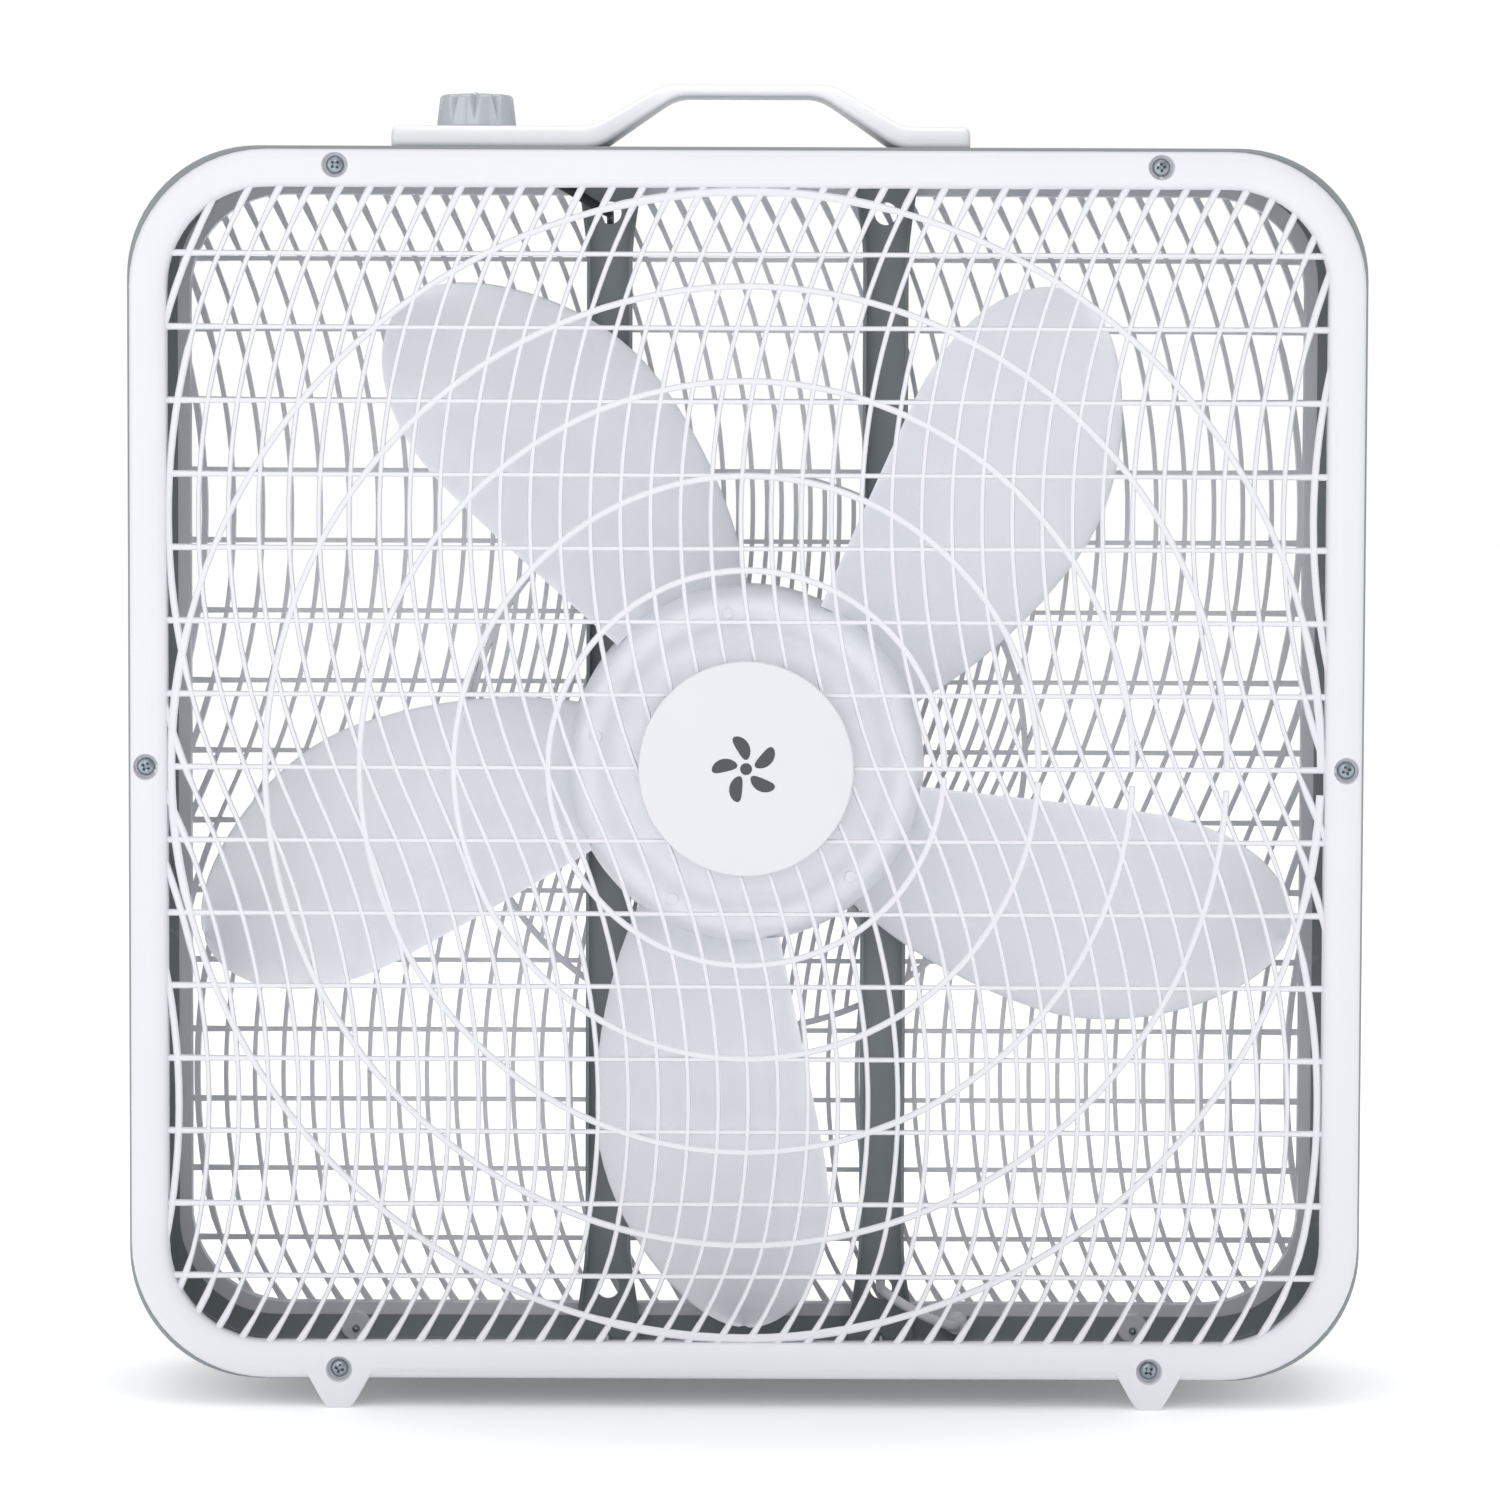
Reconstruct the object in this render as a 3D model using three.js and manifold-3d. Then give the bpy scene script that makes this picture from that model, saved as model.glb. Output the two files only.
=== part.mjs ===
// A box fan: a square steel band closed by two moulded grilles, with a five-blade
// impeller on a motor that hangs between two steel straps, a carrying handle with the
// speed knob beside it, and a mains cord folded into a tied hank behind the fan.
//
// Millimetres. X is to the right seen from the front, the front faces -Y, and Z is up.
// The origin is on the floor, under the middle of the case.
import * as THREE from "three";
import { ConvexGeometry } from "three/addons/geometries/ConvexGeometry.js";
import { mergeVertices } from "three/addons/utils/BufferGeometryUtils.js";
import Module from "manifold-3d";

const wasm = await Module();
wasm.setup();

// ---- Driving dimensions -------------------------------------------------------------

const GAP = 0.3; // between pieces that touch
const THROUGH = 1; // how far a cutting tool runs past what it cuts

// Case: a band of sheet steel bent into a square with round corners, lips turned inwards.
const CASE_WIDTH = 530;
const CASE_HEIGHT = 530;
const CASE_DEPTH = 92;
const CASE_CORNER = 47;
const CASE_WALL = 1.2;
const CASE_LIP = 12;
const FOOT_HEIGHT = 10.5; // from the floor to the underside of the case

// Grilles: one moulding, used at the front and turned round at the back.
const RIM_WIDTH = 16;
const RIM_INSET = 1.7; // of the rim's edge from the case's
const RIM_CORNER = 53.3;
const RIM_DEPTH = 9.7;
const RIM_CROWN = 2; // of the rim's depth, the narrower front step
const RIM_CROWN_STEP = 3; // of that step from the rim's outer edge
const WEB_DEPTH = 3.5;
const WEB_SETBACK = 3; // of the bars from the rim's face
const BAR_COUNT = 15;
const BAR_PITCH = 31.3;
const BAR_HEIGHT = 2.2;
const RIB_COUNT = 7;
const RIB_PITCH = 64.25;
const RIB_WIDTH = 2.6;
const RIB_RADIUS = 300; // of the two arcs that make a rib's S
const RIB_UPPER_WAIST = 107; // height of the upper arc's middle above the fan's axis
const RIB_LOWER_WAIST = -145;
const RIB_LEAN = 27.6; // of each arc's middle to the side
const FOOT_PLACE = 174; // of the foot lugs from the middle
const FOOT_TOP_WIDTH = 33;
const FOOT_BOTTOM_WIDTH = 11.3;
const FOOT_LUG_HEIGHT = 22;
const BADGE_DIAMETER = 92;
const BADGE_THICKNESS = 2.6;

// Screws that hold the grilles to the case lips.
const SCREW_DIAMETER = 3.6;
const SCREW_HEAD_DIAMETER = 7.6;
const SCREW_HEAD_HEIGHT = 2.2;
const SCREW_RECESS_DIAMETER = 10.8;
const SCREW_RECESS_DEPTH = 4.4;
const SCREW_SIDES = 8;
const SCREW_GRIP = 5; // of a grille screw's point behind the case lip
const STRAP_SCREW_GRIP = 4;
const BRACKET_SCREW_LENGTH = 9;
const SCREW_TOP_PLACE = 175.5; // of the top pair from the middle
const SCREW_EDGE = 8.5; // of the screws from the case's edge
const FOOT_SCREW_HEIGHT = 16.4; // of the foot screws above the floor

// Handle and control panel: one moulding on top of the case.
const PANEL_LEFT = -153.5;
const PANEL_RIGHT = 95.5;
const PANEL_THICKNESS = 9.4;
const PANEL_DEPTH = 52;
const PANEL_CORNER = 3;
const PANEL_BOSS_DEPTH = 7; // of the screw holes in the panel
const HANDLE_SCREWS = [-95, 85];
const HANDLE_HEIGHT = 28; // above the case
const HANDLE_STRAP = 5.4;
const HANDLE_TOP_HALF = 36.5;
const HANDLE_UNDER_HALF = 32;
const HANDLE_BASE_HALF = 65.5; // of the opening for the hand, where it meets the case
const HANDLE_FOOT_HALF = 66.5; // where the arms meet the panel
const HANDLE_SOFTNESS = 4; // of the corners of the grip
const KNOB_PLACE = -118;
const KNOB_DIAMETER = 34.6;
const KNOB_TOP_DIAMETER = 31.8;
const KNOB_HEIGHT = 14.6;
const KNOB_SHOULDER = 3.6; // height over which the knob's wall rounds into its top
const KNOB_CROWN = 1.1;
const KNOB_FLUTES = 10;
const KNOB_FLUTE_WIDTH = 7.5;
const KNOB_FLUTE_DEPTH = 3.2; // at the top; the flutes run out below
const KNOB_FLUTE_START = 2; // above the knob's foot
const SPINDLE_DIAMETER = 6;
const SPINDLE_ENGAGEMENT = 10; // of the spindle in the knob
const SWITCH_ENGAGEMENT = 8;
const SWITCH_SIZE = 30;
const SWITCH_HEIGHT = 13;
const TERMINAL_PLACES = [-9, 0, 9];
const TERMINAL_WIDTH = 3;
const TERMINAL_THICKNESS = 2;
const TERMINAL_LENGTH = 1.5; // of the terminal stubs under the switch

// Impeller: a bell-shaped hub with five wide blades.
const FAN_DIAMETER = 500;
const HUB_DIAMETER = 154;
const HUB_REACH = 77.5; // of the hub's front before the motor's rear face
const HUB_DEPTH = 50;
const HUB_WALL = 2.4;
const BLADE_COUNT = 5;
const BLADE_THICKNESS = 2.2;
const BLADE_PLACE = 29; // of the blades' middle behind the hub's front
const BLADE_ROOT_PITCH = 38; // degrees from the plane of rotation
const BLADE_TIP_PITCH = 20;
const BLADE_CAMBER = 5;
const BLADE_LEADING = [-36, 27]; // degrees from the tip line at the root, and gained outwards
const BLADE_TRAILING = [11, 2, -1.5]; // degrees at the root, then by the share out and its square
const BLADE_TIP_START = 0.55; // share of the way out at which the blade starts to round off
const BLADE_ROWS = 9;
const BLADE_COLUMNS = 4;
const BOSS_DIAMETER = 18;
const BOSS_SETBACK = 9; // of the boss's end from the motor
const CLIP_WALL = 2.2;
const CLIP_LENGTH = 3;
const SHAFT_DIAMETER = 8;
const SHAFT_REACH = 70.5; // of the shaft's front end before the motor's rear face

// Motor, from its rear face forwards, on a bracket behind the straps.
const MOTOR_DIAMETER = 84;
const MOTOR_SETBACK = 4.5; // of the motor's rear face from the case's rear face
const SHIELD_DEPTH = 11.6;
const SHIELD_WALL = 2;
const STATOR_DEPTH = 16;
const STATOR_YOKE = 9;
const ROTOR_DIAMETER = 42;
const AIR_GAP = 0.5; // round the rotor, and at its ends
const POLE_COUNT = 4;
const POLE_WIDTH = 13;
const POLE_REACH = 3; // of the uncut poles inside the bore
const POLE_ROOT = 2; // of the poles inside the yoke
const COIL_THICKNESS = 4;
const COIL_SETBACK = 1.2; // of the coils from the bore
const BUSH_DIAMETER = 16;
const BUSH_LENGTH = 7;
const WASHER_DIAMETER = 15;
const WASHER_THICKNESS = 1.2;
const MOTOR_BOLT_DIAMETER = 3.5;
const MOTOR_BOLT_ANGLES = [45, 225];
const NUT_RADIUS = 3.4;
const NUT_HEIGHT = 2.8;
const BOLT_OVERHANG = 4; // of a bolt's end past the motor's front
const BRACKET_VENT_MARGIN = 2; // of the bracket's middle hole round the bush
const BRACKET_THICKNESS = 1.5;
const BRACKET_HEIGHT = 60;
const BRACKET_SCREW_PLACE = 18; // above and below the axis

// Straps: folded steel uprights between the case's floor and roof.
const STRAP_PLACE = 61;
const STRAP_WIDTH = 20;
const STRAP_END_WIDTH = 29;
const STRAP_FLARE = 40; // the length over which the ends widen
const STRAP_THICKNESS = 1.5;
const STRAP_FLANGE = 6;
const STRAP_TAB = 14;
const STRAP_HOLE_DIAMETER = 10;
const STRAP_HOLE_HEIGHT = 24; // above the inside of the case

// Mains cord: flat two-core lead.
const CORD_WIDTH = 6;
const CORD_THICKNESS = 3.4;
const LEAD_DIAMETER = 4.6; // of the leads inside the case
const CORD_SIDES = 8;
const RELIEF_PLACE = 95;
const RELIEF_HEIGHT = 19.5; // above the floor
const RELIEF_DIAMETER = 9;
const RELIEF_FLANGE_DIAMETER = 12.5;
const RELIEF_TAIL_DIAMETER = 6.8;
const RELIEF_TAIL_LENGTH = 16;
const RELIEF_FLANGE_THICKNESS = 2;
const RELIEF_BARB = 1; // of the barb's edge outside the hole it snaps through
const RELIEF_BARB_LENGTHS = [5.4, 2.2]; // of its tip and its edge from the case wall
const HANK_X = -8;
const HANK_PLACE = 27; // of the hank's middle behind the rear grille
const HANK_HALF_LENGTH = 66; // of the inner turns' centreline
const HANK_SWELL = 34.5; // sets how wide the inner turns' two ends are
const HANK_PINCH = 0.86; // how far the tie draws the turns together, 1 for closed
const HANK_COLUMNS = 2;
const HANK_LAYERS = 3;
const HANK_COLUMN_STEP = 6.4;
const HANK_LAYER_STEP = 3.6;
const HANK_SIDES = 36; // of the hank's outline
const HANK_CLEARANCE = 0.5; // of the hank from the tie's underside
const TIE_THICKNESS = 0.9;
const TIE_WIDTH = 7;
const PLUG_X = -116; // of the plug's cord end
const PLUG_PLACE = 15; // of the plug's middle behind the hank's
const PLUG_BASE = 0.1;
const PLUG_LENGTH = 34;
const PLUG_SHOULDER = 0.45; // share of the plug's length over which it widens
const PLUG_WIDTH = 25;
const PLUG_NECK_WIDTH = 13;
const PLUG_THICKNESS = 16.4;
const PRONG_LENGTH = 17.5;
const PRONG_WIDTH = 6.3;
const PRONG_THICKNESS = 1.5;
const PRONG_SPACING = 12.7;

// ---- Places worked out from them ----------------------------------------------------

const AXIS_Z = FOOT_HEIGHT + CASE_HEIGHT / 2;
const CASE_TOP = FOOT_HEIGHT + CASE_HEIGHT;
const CASE_FACE = CASE_DEPTH / 2; // distance of the lips' faces from the mid plane
const RIM_HALF_WIDTH = CASE_WIDTH / 2 - RIM_INSET;
const RIM_HALF_HEIGHT = CASE_HEIGHT / 2 - RIM_INSET;
const RIM_BACK = -(CASE_FACE + GAP);
const RIM_FACE = RIM_BACK - RIM_DEPTH;
const WEB_FACE = RIM_FACE + WEB_SETBACK;
const RIM_REAR_FACE = -RIM_FACE;
const PANEL_BASE = CASE_TOP + GAP;
const PANEL_TOP = PANEL_BASE + PANEL_THICKNESS;
const SHAFT_RADIUS = SHAFT_DIAMETER / 2;
const MOTOR_REAR = CASE_FACE - MOTOR_SETBACK;
const SHAFT_FRONT = MOTOR_REAR - SHAFT_REACH;
const HUB_FRONT = MOTOR_REAR - HUB_REACH;
const HUB_REAR = HUB_FRONT + HUB_DEPTH;
const BLADE_MIDDLE = HUB_FRONT + BLADE_PLACE;
const BRACKET_FACE = MOTOR_REAR + GAP;
const BRACKET_BACK = BRACKET_FACE + BRACKET_THICKNESS;
const STRAP_BACK = BRACKET_FACE - GAP;
const STRAP_FACE = STRAP_BACK - STRAP_THICKNESS;
const STATOR_REAR = MOTOR_REAR - SHIELD_DEPTH - GAP;
const STATOR_FRONT = STATOR_REAR - STATOR_DEPTH;
const MOTOR_FRONT = STATOR_FRONT - GAP - SHIELD_DEPTH;
const MOTOR_BOLT_CIRCLE = MOTOR_DIAMETER - STATOR_YOKE;
const STRAP_SCREW_Y = STRAP_BACK - STRAP_TAB / 2;
const CASE_FLOOR = FOOT_HEIGHT + CASE_WALL + GAP;
const CASE_ROOF = CASE_TOP - CASE_WALL - GAP;
const RELIEF_REAR = RIM_REAR_FACE + RELIEF_FLANGE_THICKNESS + RELIEF_TAIL_LENGTH;
const HANK_Y = RIM_REAR_FACE + HANK_PLACE;
const PLUG_Y = HANK_Y + PLUG_PLACE;

// ---- Shapes ---------------------------------------------------------------------------

/** A manifold-3d solid of a closed geometry. */
function solid(geometry) {
  const bare = geometry.index ? geometry.toNonIndexed() : geometry.clone();
  bare.deleteAttribute("normal");
  bare.deleteAttribute("uv");
  const merged = mergeVertices(bare, 1e-3);
  return new wasm.Manifold(
    new wasm.Mesh({
      numProp: 3,
      vertProperties: merged.attributes.position.array,
      triVerts: new Uint32Array(merged.index.array),
    }),
  );
}

/** The geometry of a manifold-3d solid. */
function geometryOf(body) {
  const { vertProperties, triVerts } = body.getMesh();
  const geometry = new THREE.BufferGeometry();
  geometry.setAttribute("position", new THREE.BufferAttribute(vertProperties, 3));
  geometry.setIndex(new THREE.BufferAttribute(triVerts, 1));
  geometry.computeVertexNormals();
  return geometry;
}

function join(bodies) {
  return bodies.reduce((all, body) => all.add(body));
}

function cut(body, tools) {
  return tools.reduce((left, tool) => left.subtract(tool), body);
}

/** A rectangle with round corners, about (0, AXIS_Z) in the XZ plane. */
function roundedFrame(halfWidth, halfHeight, radius, centre = AXIS_Z) {
  const shape = new THREE.Shape();
  const [right, top] = [halfWidth - radius, halfHeight - radius];
  shape.absarc(right, centre + top, radius, 0, Math.PI / 2);
  shape.absarc(-right, centre + top, radius, Math.PI / 2, Math.PI);
  shape.absarc(-right, centre - top, radius, Math.PI, 1.5 * Math.PI);
  shape.absarc(right, centre - top, radius, 1.5 * Math.PI, 2 * Math.PI);
  return shape;
}

/** A straight-sided shape through [x, y] points. */
function polygon(points) {
  return new THREE.Shape(points.map(([x, y]) => new THREE.Vector2(x, y)));
}

/** A shape of the XZ plane, made solid from one Y to another. */
function plateY(shape, from, to, curveSegments = 3) {
  const geometry = new THREE.ExtrudeGeometry(shape, {
    depth: to - from,
    bevelEnabled: false,
    curveSegments,
  });
  geometry.rotateX(Math.PI / 2);
  geometry.translate(0, to, 0);
  return solid(geometry);
}

/** A shape of the XY plane, made solid from one Z to another. */
function plateZ(shape, from, to, curveSegments = 3) {
  const geometry = new THREE.ExtrudeGeometry(shape, {
    depth: to - from,
    bevelEnabled: false,
    curveSegments,
  });
  geometry.translate(0, 0, from);
  return solid(geometry);
}

function box([x0, x1], [y0, y1], [z0, z1]) {
  const geometry = new THREE.BoxGeometry(x1 - x0, y1 - y0, z1 - z0);
  geometry.translate((x0 + x1) / 2, (y0 + y1) / 2, (z0 + z1) / 2);
  return solid(geometry);
}

/** A round bar along Y. */
function barY(radius, from, to, x = 0, z = AXIS_Z, sides = 12) {
  const geometry = new THREE.CylinderGeometry(radius, radius, to - from, sides);
  geometry.translate(x, (from + to) / 2, z);
  return solid(geometry);
}

/** A round bar along Z. */
function barZ(radius, from, to, x, y, sides = 16) {
  const geometry = new THREE.CylinderGeometry(radius, radius, to - from, sides);
  geometry.rotateX(Math.PI / 2);
  geometry.translate(x, y, (from + to) / 2);
  return solid(geometry);
}

/** [radius, height] points turned about Y, with the axis moved to (x, z). */
function turnedY(profile, x = 0, z = AXIS_Z, sides = 24) {
  const points = profile.map(([r, y]) => new THREE.Vector2(r, y));
  const geometry = new THREE.LatheGeometry(points, sides);
  geometry.translate(x, 0, z);
  return solid(geometry);
}

/** [radius, height] points turned about Z, with the axis moved to (x, y). */
function turnedZ(profile, x, y, sides = 32) {
  const points = profile.map(([r, h]) => new THREE.Vector2(r, h));
  const geometry = new THREE.LatheGeometry(points, sides);
  geometry.rotateX(Math.PI / 2);
  geometry.translate(x, y, 0);
  return solid(geometry);
}

/** The clearance hole of a screw along Y. */
function screwHoleY(x, z, from, to) {
  return barY(SCREW_DIAMETER / 2 + GAP, from - THROUGH, to + THROUGH, x, z, SCREW_SIDES);
}

/** The clearance hole of a screw along Z. */
function screwHoleZ(x, y, from, to) {
  return barZ(SCREW_DIAMETER / 2 + GAP, from, to, x, y, SCREW_SIDES);
}

/** A pan-head screw: [radius, distance behind the head's face] points. */
function screwProfile(length) {
  const [head, shank] = [SCREW_HEAD_DIAMETER / 2, SCREW_DIAMETER / 2];
  return [
    [0, 0],
    [head, SCREW_HEAD_HEIGHT / 4],
    [head, SCREW_HEAD_HEIGHT],
    [shank, SCREW_HEAD_HEIGHT],
    [shank, length],
    [0, length],
  ];
}

/** A screw along Y whose head's face is at `face`; it points to +Y, or to -Y if turned. */
function screwY(x, z, face, length, turned = false) {
  const sign = turned ? -1 : 1;
  const profile = screwProfile(length).map(([r, d]) => [r, face + sign * d]);
  return turnedY(turned ? profile.reverse() : profile, x, z, SCREW_SIDES);
}

/** A screw along Z whose head's face is at `face`; it points up, or down if turned. */
function screwZ(x, y, face, length, turned = false) {
  const sign = turned ? -1 : 1;
  const profile = screwProfile(length).map(([r, d]) => [r, face + sign * d]);
  return turnedZ(turned ? profile.reverse() : profile, x, y, SCREW_SIDES);
}

// ---- The assembly ---------------------------------------------------------------------

const boxFan = new THREE.Group();

function finish(color, roughness, metalness = 0) {
  return () => new THREE.MeshStandardMaterial({ color, roughness, metalness });
}

const whitePlastic = finish(0xeeeff3, 0.4);
const greyPlastic = finish(0xb8bdc6, 0.3);
const hubPlastic = finish(0xd6d9e2, 0.35);
const darkSteel = finish(0x585d60, 0.45, 0.3);
const zincSteel = finish(0x9aa4ac, 0.35, 0.9);
const brightSteel = finish(0xb5b8bc, 0.3, 1);
const castMetal = finish(0x9b9fa3, 0.5, 0.8);
const copper = finish(0xb4683c, 0.4, 0.9);
const bronze = finish(0xa8824e, 0.45, 0.9);
const blackPlastic = finish(0x26282b, 0.5);
const whiteVinyl = finish(0xe9eaec, 0.45);
const brass = finish(0xc2a15a, 0.3, 1);

/** Adds one named piece; a piece may be turned half a turn about the vertical. */
function piece(name, material, body, turned = false) {
  const mesh = new THREE.Mesh(geometryOf(body), material());
  mesh.name = name;
  mesh.rotation.z = turned ? Math.PI : 0;
  boxFan.add(mesh);
}

// ---- Case -----------------------------------------------------------------------------

/** Places of the screws of one grille: [x, z] seen from its own front. */
const GRILLE_SCREWS = [
  [-SCREW_TOP_PLACE, CASE_TOP - SCREW_EDGE],
  [SCREW_TOP_PLACE, CASE_TOP - SCREW_EDGE],
  [-(CASE_WIDTH / 2 - SCREW_EDGE), AXIS_Z],
  [CASE_WIDTH / 2 - SCREW_EDGE, AXIS_Z],
  [-FOOT_PLACE, FOOT_SCREW_HEIGHT],
  [FOOT_PLACE, FOOT_SCREW_HEIGHT],
];

function caseBand() {
  const inner = CASE_CORNER - CASE_WALL;
  const opening = CASE_CORNER - CASE_LIP;
  const outside = roundedFrame(CASE_WIDTH / 2, CASE_HEIGHT / 2, CASE_CORNER);
  const inside = roundedFrame(CASE_WIDTH / 2 - CASE_WALL, CASE_HEIGHT / 2 - CASE_WALL, inner);
  const mouth = roundedFrame(CASE_WIDTH / 2 - CASE_LIP, CASE_HEIGHT / 2 - CASE_LIP, opening);
  const wallFace = CASE_FACE - CASE_WALL;
  const screwHoles = GRILLE_SCREWS.map(([x, z]) =>
    screwHoleY(x, z, -CASE_FACE, CASE_FACE),
  );
  const strapHoles = [-STRAP_PLACE, STRAP_PLACE].map((x) =>
    screwHoleZ(x, STRAP_SCREW_Y, 0, CASE_TOP + THROUGH),
  );
  const panelHoles = HANDLE_SCREWS.map((x) =>
    screwHoleZ(x, 0, AXIS_Z, CASE_TOP + THROUGH),
  );
  return cut(plateY(outside, -CASE_FACE, CASE_FACE), [
    plateY(inside, -wallFace, wallFace),
    plateY(mouth, -CASE_FACE - THROUGH, CASE_FACE + THROUGH),
    barZ(SPINDLE_DIAMETER, AXIS_Z, CASE_TOP + THROUGH, KNOB_PLACE, 0),
    barY(RELIEF_DIAMETER / 2 + GAP, 0, CASE_FACE + THROUGH, RELIEF_PLACE, RELIEF_HEIGHT),
    ...screwHoles,
    ...strapHoles,
    ...panelHoles,
  ]);
}

// ---- Grilles --------------------------------------------------------------------------

/** How far a rib has swung sideways at a height above the fan's axis. */
function ribSwing(height) {
  const switchOver = (RIB_UPPER_WAIST + RIB_LOWER_WAIST) / 2;
  const upper = height > switchOver;
  const rise = height - (upper ? RIB_UPPER_WAIST : RIB_LOWER_WAIST);
  const sagitta = RIB_RADIUS - Math.sqrt(RIB_RADIUS ** 2 - rise ** 2);
  return upper ? sagitta - RIB_LEAN : RIB_LEAN - sagitta;
}

/** The trapezoid of a foot lug, in the XZ plane. */
function footOutline(x) {
  const [top, bottom] = [FOOT_TOP_WIDTH / 2, FOOT_BOTTOM_WIDTH / 2];
  return polygon([
    [x - bottom, 0],
    [x + bottom, 0],
    [x + top, FOOT_LUG_HEIGHT],
    [x - top, FOOT_LUG_HEIGHT],
  ]);
}

/** A front grille: rim with foot lugs, bars and S-shaped ribs, without its screw holes. */
function grilleMoulding() {
  const webBack = WEB_FACE + WEB_DEPTH;
  const crownFace = RIM_FACE + RIM_CROWN;
  const innerCorner = RIM_CORNER - RIM_WIDTH;
  const openingHalf = RIM_HALF_WIDTH - RIM_WIDTH;
  const openingRise = RIM_HALF_HEIGHT - RIM_WIDTH;
  const step = RIM_CROWN_STEP;
  const base = plateY(
    roundedFrame(RIM_HALF_WIDTH, RIM_HALF_HEIGHT, RIM_CORNER),
    crownFace,
    RIM_BACK,
  );
  const crown = plateY(
    roundedFrame(RIM_HALF_WIDTH - step, RIM_HALF_HEIGHT - step, RIM_CORNER - step),
    RIM_FACE,
    crownFace + THROUGH,
  );
  const opening = plateY(
    roundedFrame(openingHalf, openingRise, innerCorner),
    RIM_FACE - THROUGH,
    RIM_BACK + THROUGH,
  );
  const feet = [-FOOT_PLACE, FOOT_PLACE].map((x) => plateY(footOutline(x), RIM_FACE, RIM_BACK));
  const rim = cut(join([base, crown, ...feet]), [opening]);

  const bars = Array.from({ length: BAR_COUNT }, (_, i) => {
    const z = AXIS_Z + (i - (BAR_COUNT - 1) / 2) * BAR_PITCH;
    return box(
      [-openingHalf - THROUGH, openingHalf + THROUGH],
      [WEB_FACE, webBack],
      [z - BAR_HEIGHT / 2, z + BAR_HEIGHT / 2],
    );
  });
  const heights = Array.from(
    { length: BAR_COUNT + 2 },
    (_, i) => (i - (BAR_COUNT + 1) / 2) * BAR_PITCH,
  );
  const ribs = Array.from({ length: RIB_COUNT }, (_, i) => {
    const x = (i - (RIB_COUNT - 1) / 2) * RIB_PITCH;
    const side = (offset) => heights.map((h) => [x + ribSwing(h) + offset, AXIS_Z + h]);
    const outline = polygon([...side(RIB_WIDTH / 2), ...side(-RIB_WIDTH / 2).reverse()]);
    return plateY(outline, WEB_FACE, webBack);
  });
  const overlap = GAP; // of the web with the rim that carries it
  const window = plateY(
    roundedFrame(openingHalf + overlap, openingRise + overlap, innerCorner + overlap),
    WEB_FACE,
    webBack,
  );
  return rim.add(join([...bars, ...ribs]).intersect(window));
}

/** The recess and through hole of each grille screw. */
function grilleScrewCuts() {
  return GRILLE_SCREWS.flatMap(([x, z]) => [
    barY(SCREW_RECESS_DIAMETER / 2, RIM_FACE - THROUGH, RIM_FACE + SCREW_RECESS_DEPTH, x, z),
    screwHoleY(x, z, RIM_FACE, RIM_BACK),
  ]);
}

/** The strain relief's hole through the rear grille, seen from that grille's own front. */
function reliefCut() {
  const radius = RELIEF_DIAMETER / 2 + GAP;
  return barY(radius, RIM_FACE - THROUGH, RIM_BACK + THROUGH, -RELIEF_PLACE, RELIEF_HEIGHT);
}

function addGrilles() {
  const moulding = cut(grilleMoulding(), grilleScrewCuts());
  piece("front_grille", whitePlastic, moulding);
  piece("rear_grille", whitePlastic, cut(moulding, [reliefCut()]), true);
  const badge = barY(
    BADGE_DIAMETER / 2,
    WEB_FACE - GAP - BADGE_THICKNESS,
    WEB_FACE - GAP,
    0,
    AXIS_Z,
    40,
  );
  piece("badge_disc", whitePlastic, badge);
  const headFace = RIM_FACE + SCREW_RECESS_DEPTH - GAP - SCREW_HEAD_HEIGHT;
  const length = RIM_BACK + GAP + CASE_WALL + SCREW_GRIP - headFace;
  GRILLE_SCREWS.forEach(([x, z], i) => {
    piece(`front_screw_${i + 1}`, zincSteel, screwY(x, z, headFace, length));
    piece(`rear_screw_${i + 1}`, zincSteel, screwY(x, z, headFace, length), true);
  });
}

// ---- Handle, knob and switch ------------------------------------------------------------

/** A closed shape through [x, z, softness] corners, each cut that far back and rounded. */
function softOutline(corners) {
  const shape = new THREE.Shape();
  corners.forEach(([x, z, softness], i) => {
    const corner = new THREE.Vector2(x, z);
    const towards = (other) => {
      const [toX, toZ] = corners[(other + corners.length) % corners.length];
      const heading = new THREE.Vector2(toX - x, toZ - z).normalize();
      return heading.multiplyScalar(softness).add(corner);
    };
    const [start, end] = [towards(i - 1), towards(i + 1)];
    if (i === 0) shape.moveTo(start.x, start.y);
    else shape.lineTo(start.x, start.y);
    if (softness > 0) shape.quadraticCurveTo(x, z, end.x, end.y);
  });
  return shape;
}

/** The handle moulding seen from the front: two feet joined by a raised grip. */
function handleOutline() {
  const top = PANEL_BASE + HANDLE_HEIGHT;
  const under = top - HANDLE_STRAP;
  return softOutline([
    [PANEL_LEFT, PANEL_BASE, 0],
    [-HANDLE_BASE_HALF, PANEL_BASE, 0],
    [-HANDLE_UNDER_HALF, under, HANDLE_SOFTNESS],
    [HANDLE_UNDER_HALF, under, HANDLE_SOFTNESS],
    [HANDLE_BASE_HALF, PANEL_BASE, 0],
    [PANEL_RIGHT, PANEL_BASE, 0],
    [PANEL_RIGHT, PANEL_TOP, PANEL_CORNER],
    [HANDLE_FOOT_HALF, PANEL_TOP, HANDLE_SOFTNESS],
    [HANDLE_TOP_HALF, top, HANDLE_SOFTNESS],
    [-HANDLE_TOP_HALF, top, HANDLE_SOFTNESS],
    [-HANDLE_FOOT_HALF, PANEL_TOP, HANDLE_SOFTNESS],
    [PANEL_LEFT, PANEL_TOP, PANEL_CORNER],
  ]);
}

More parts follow.
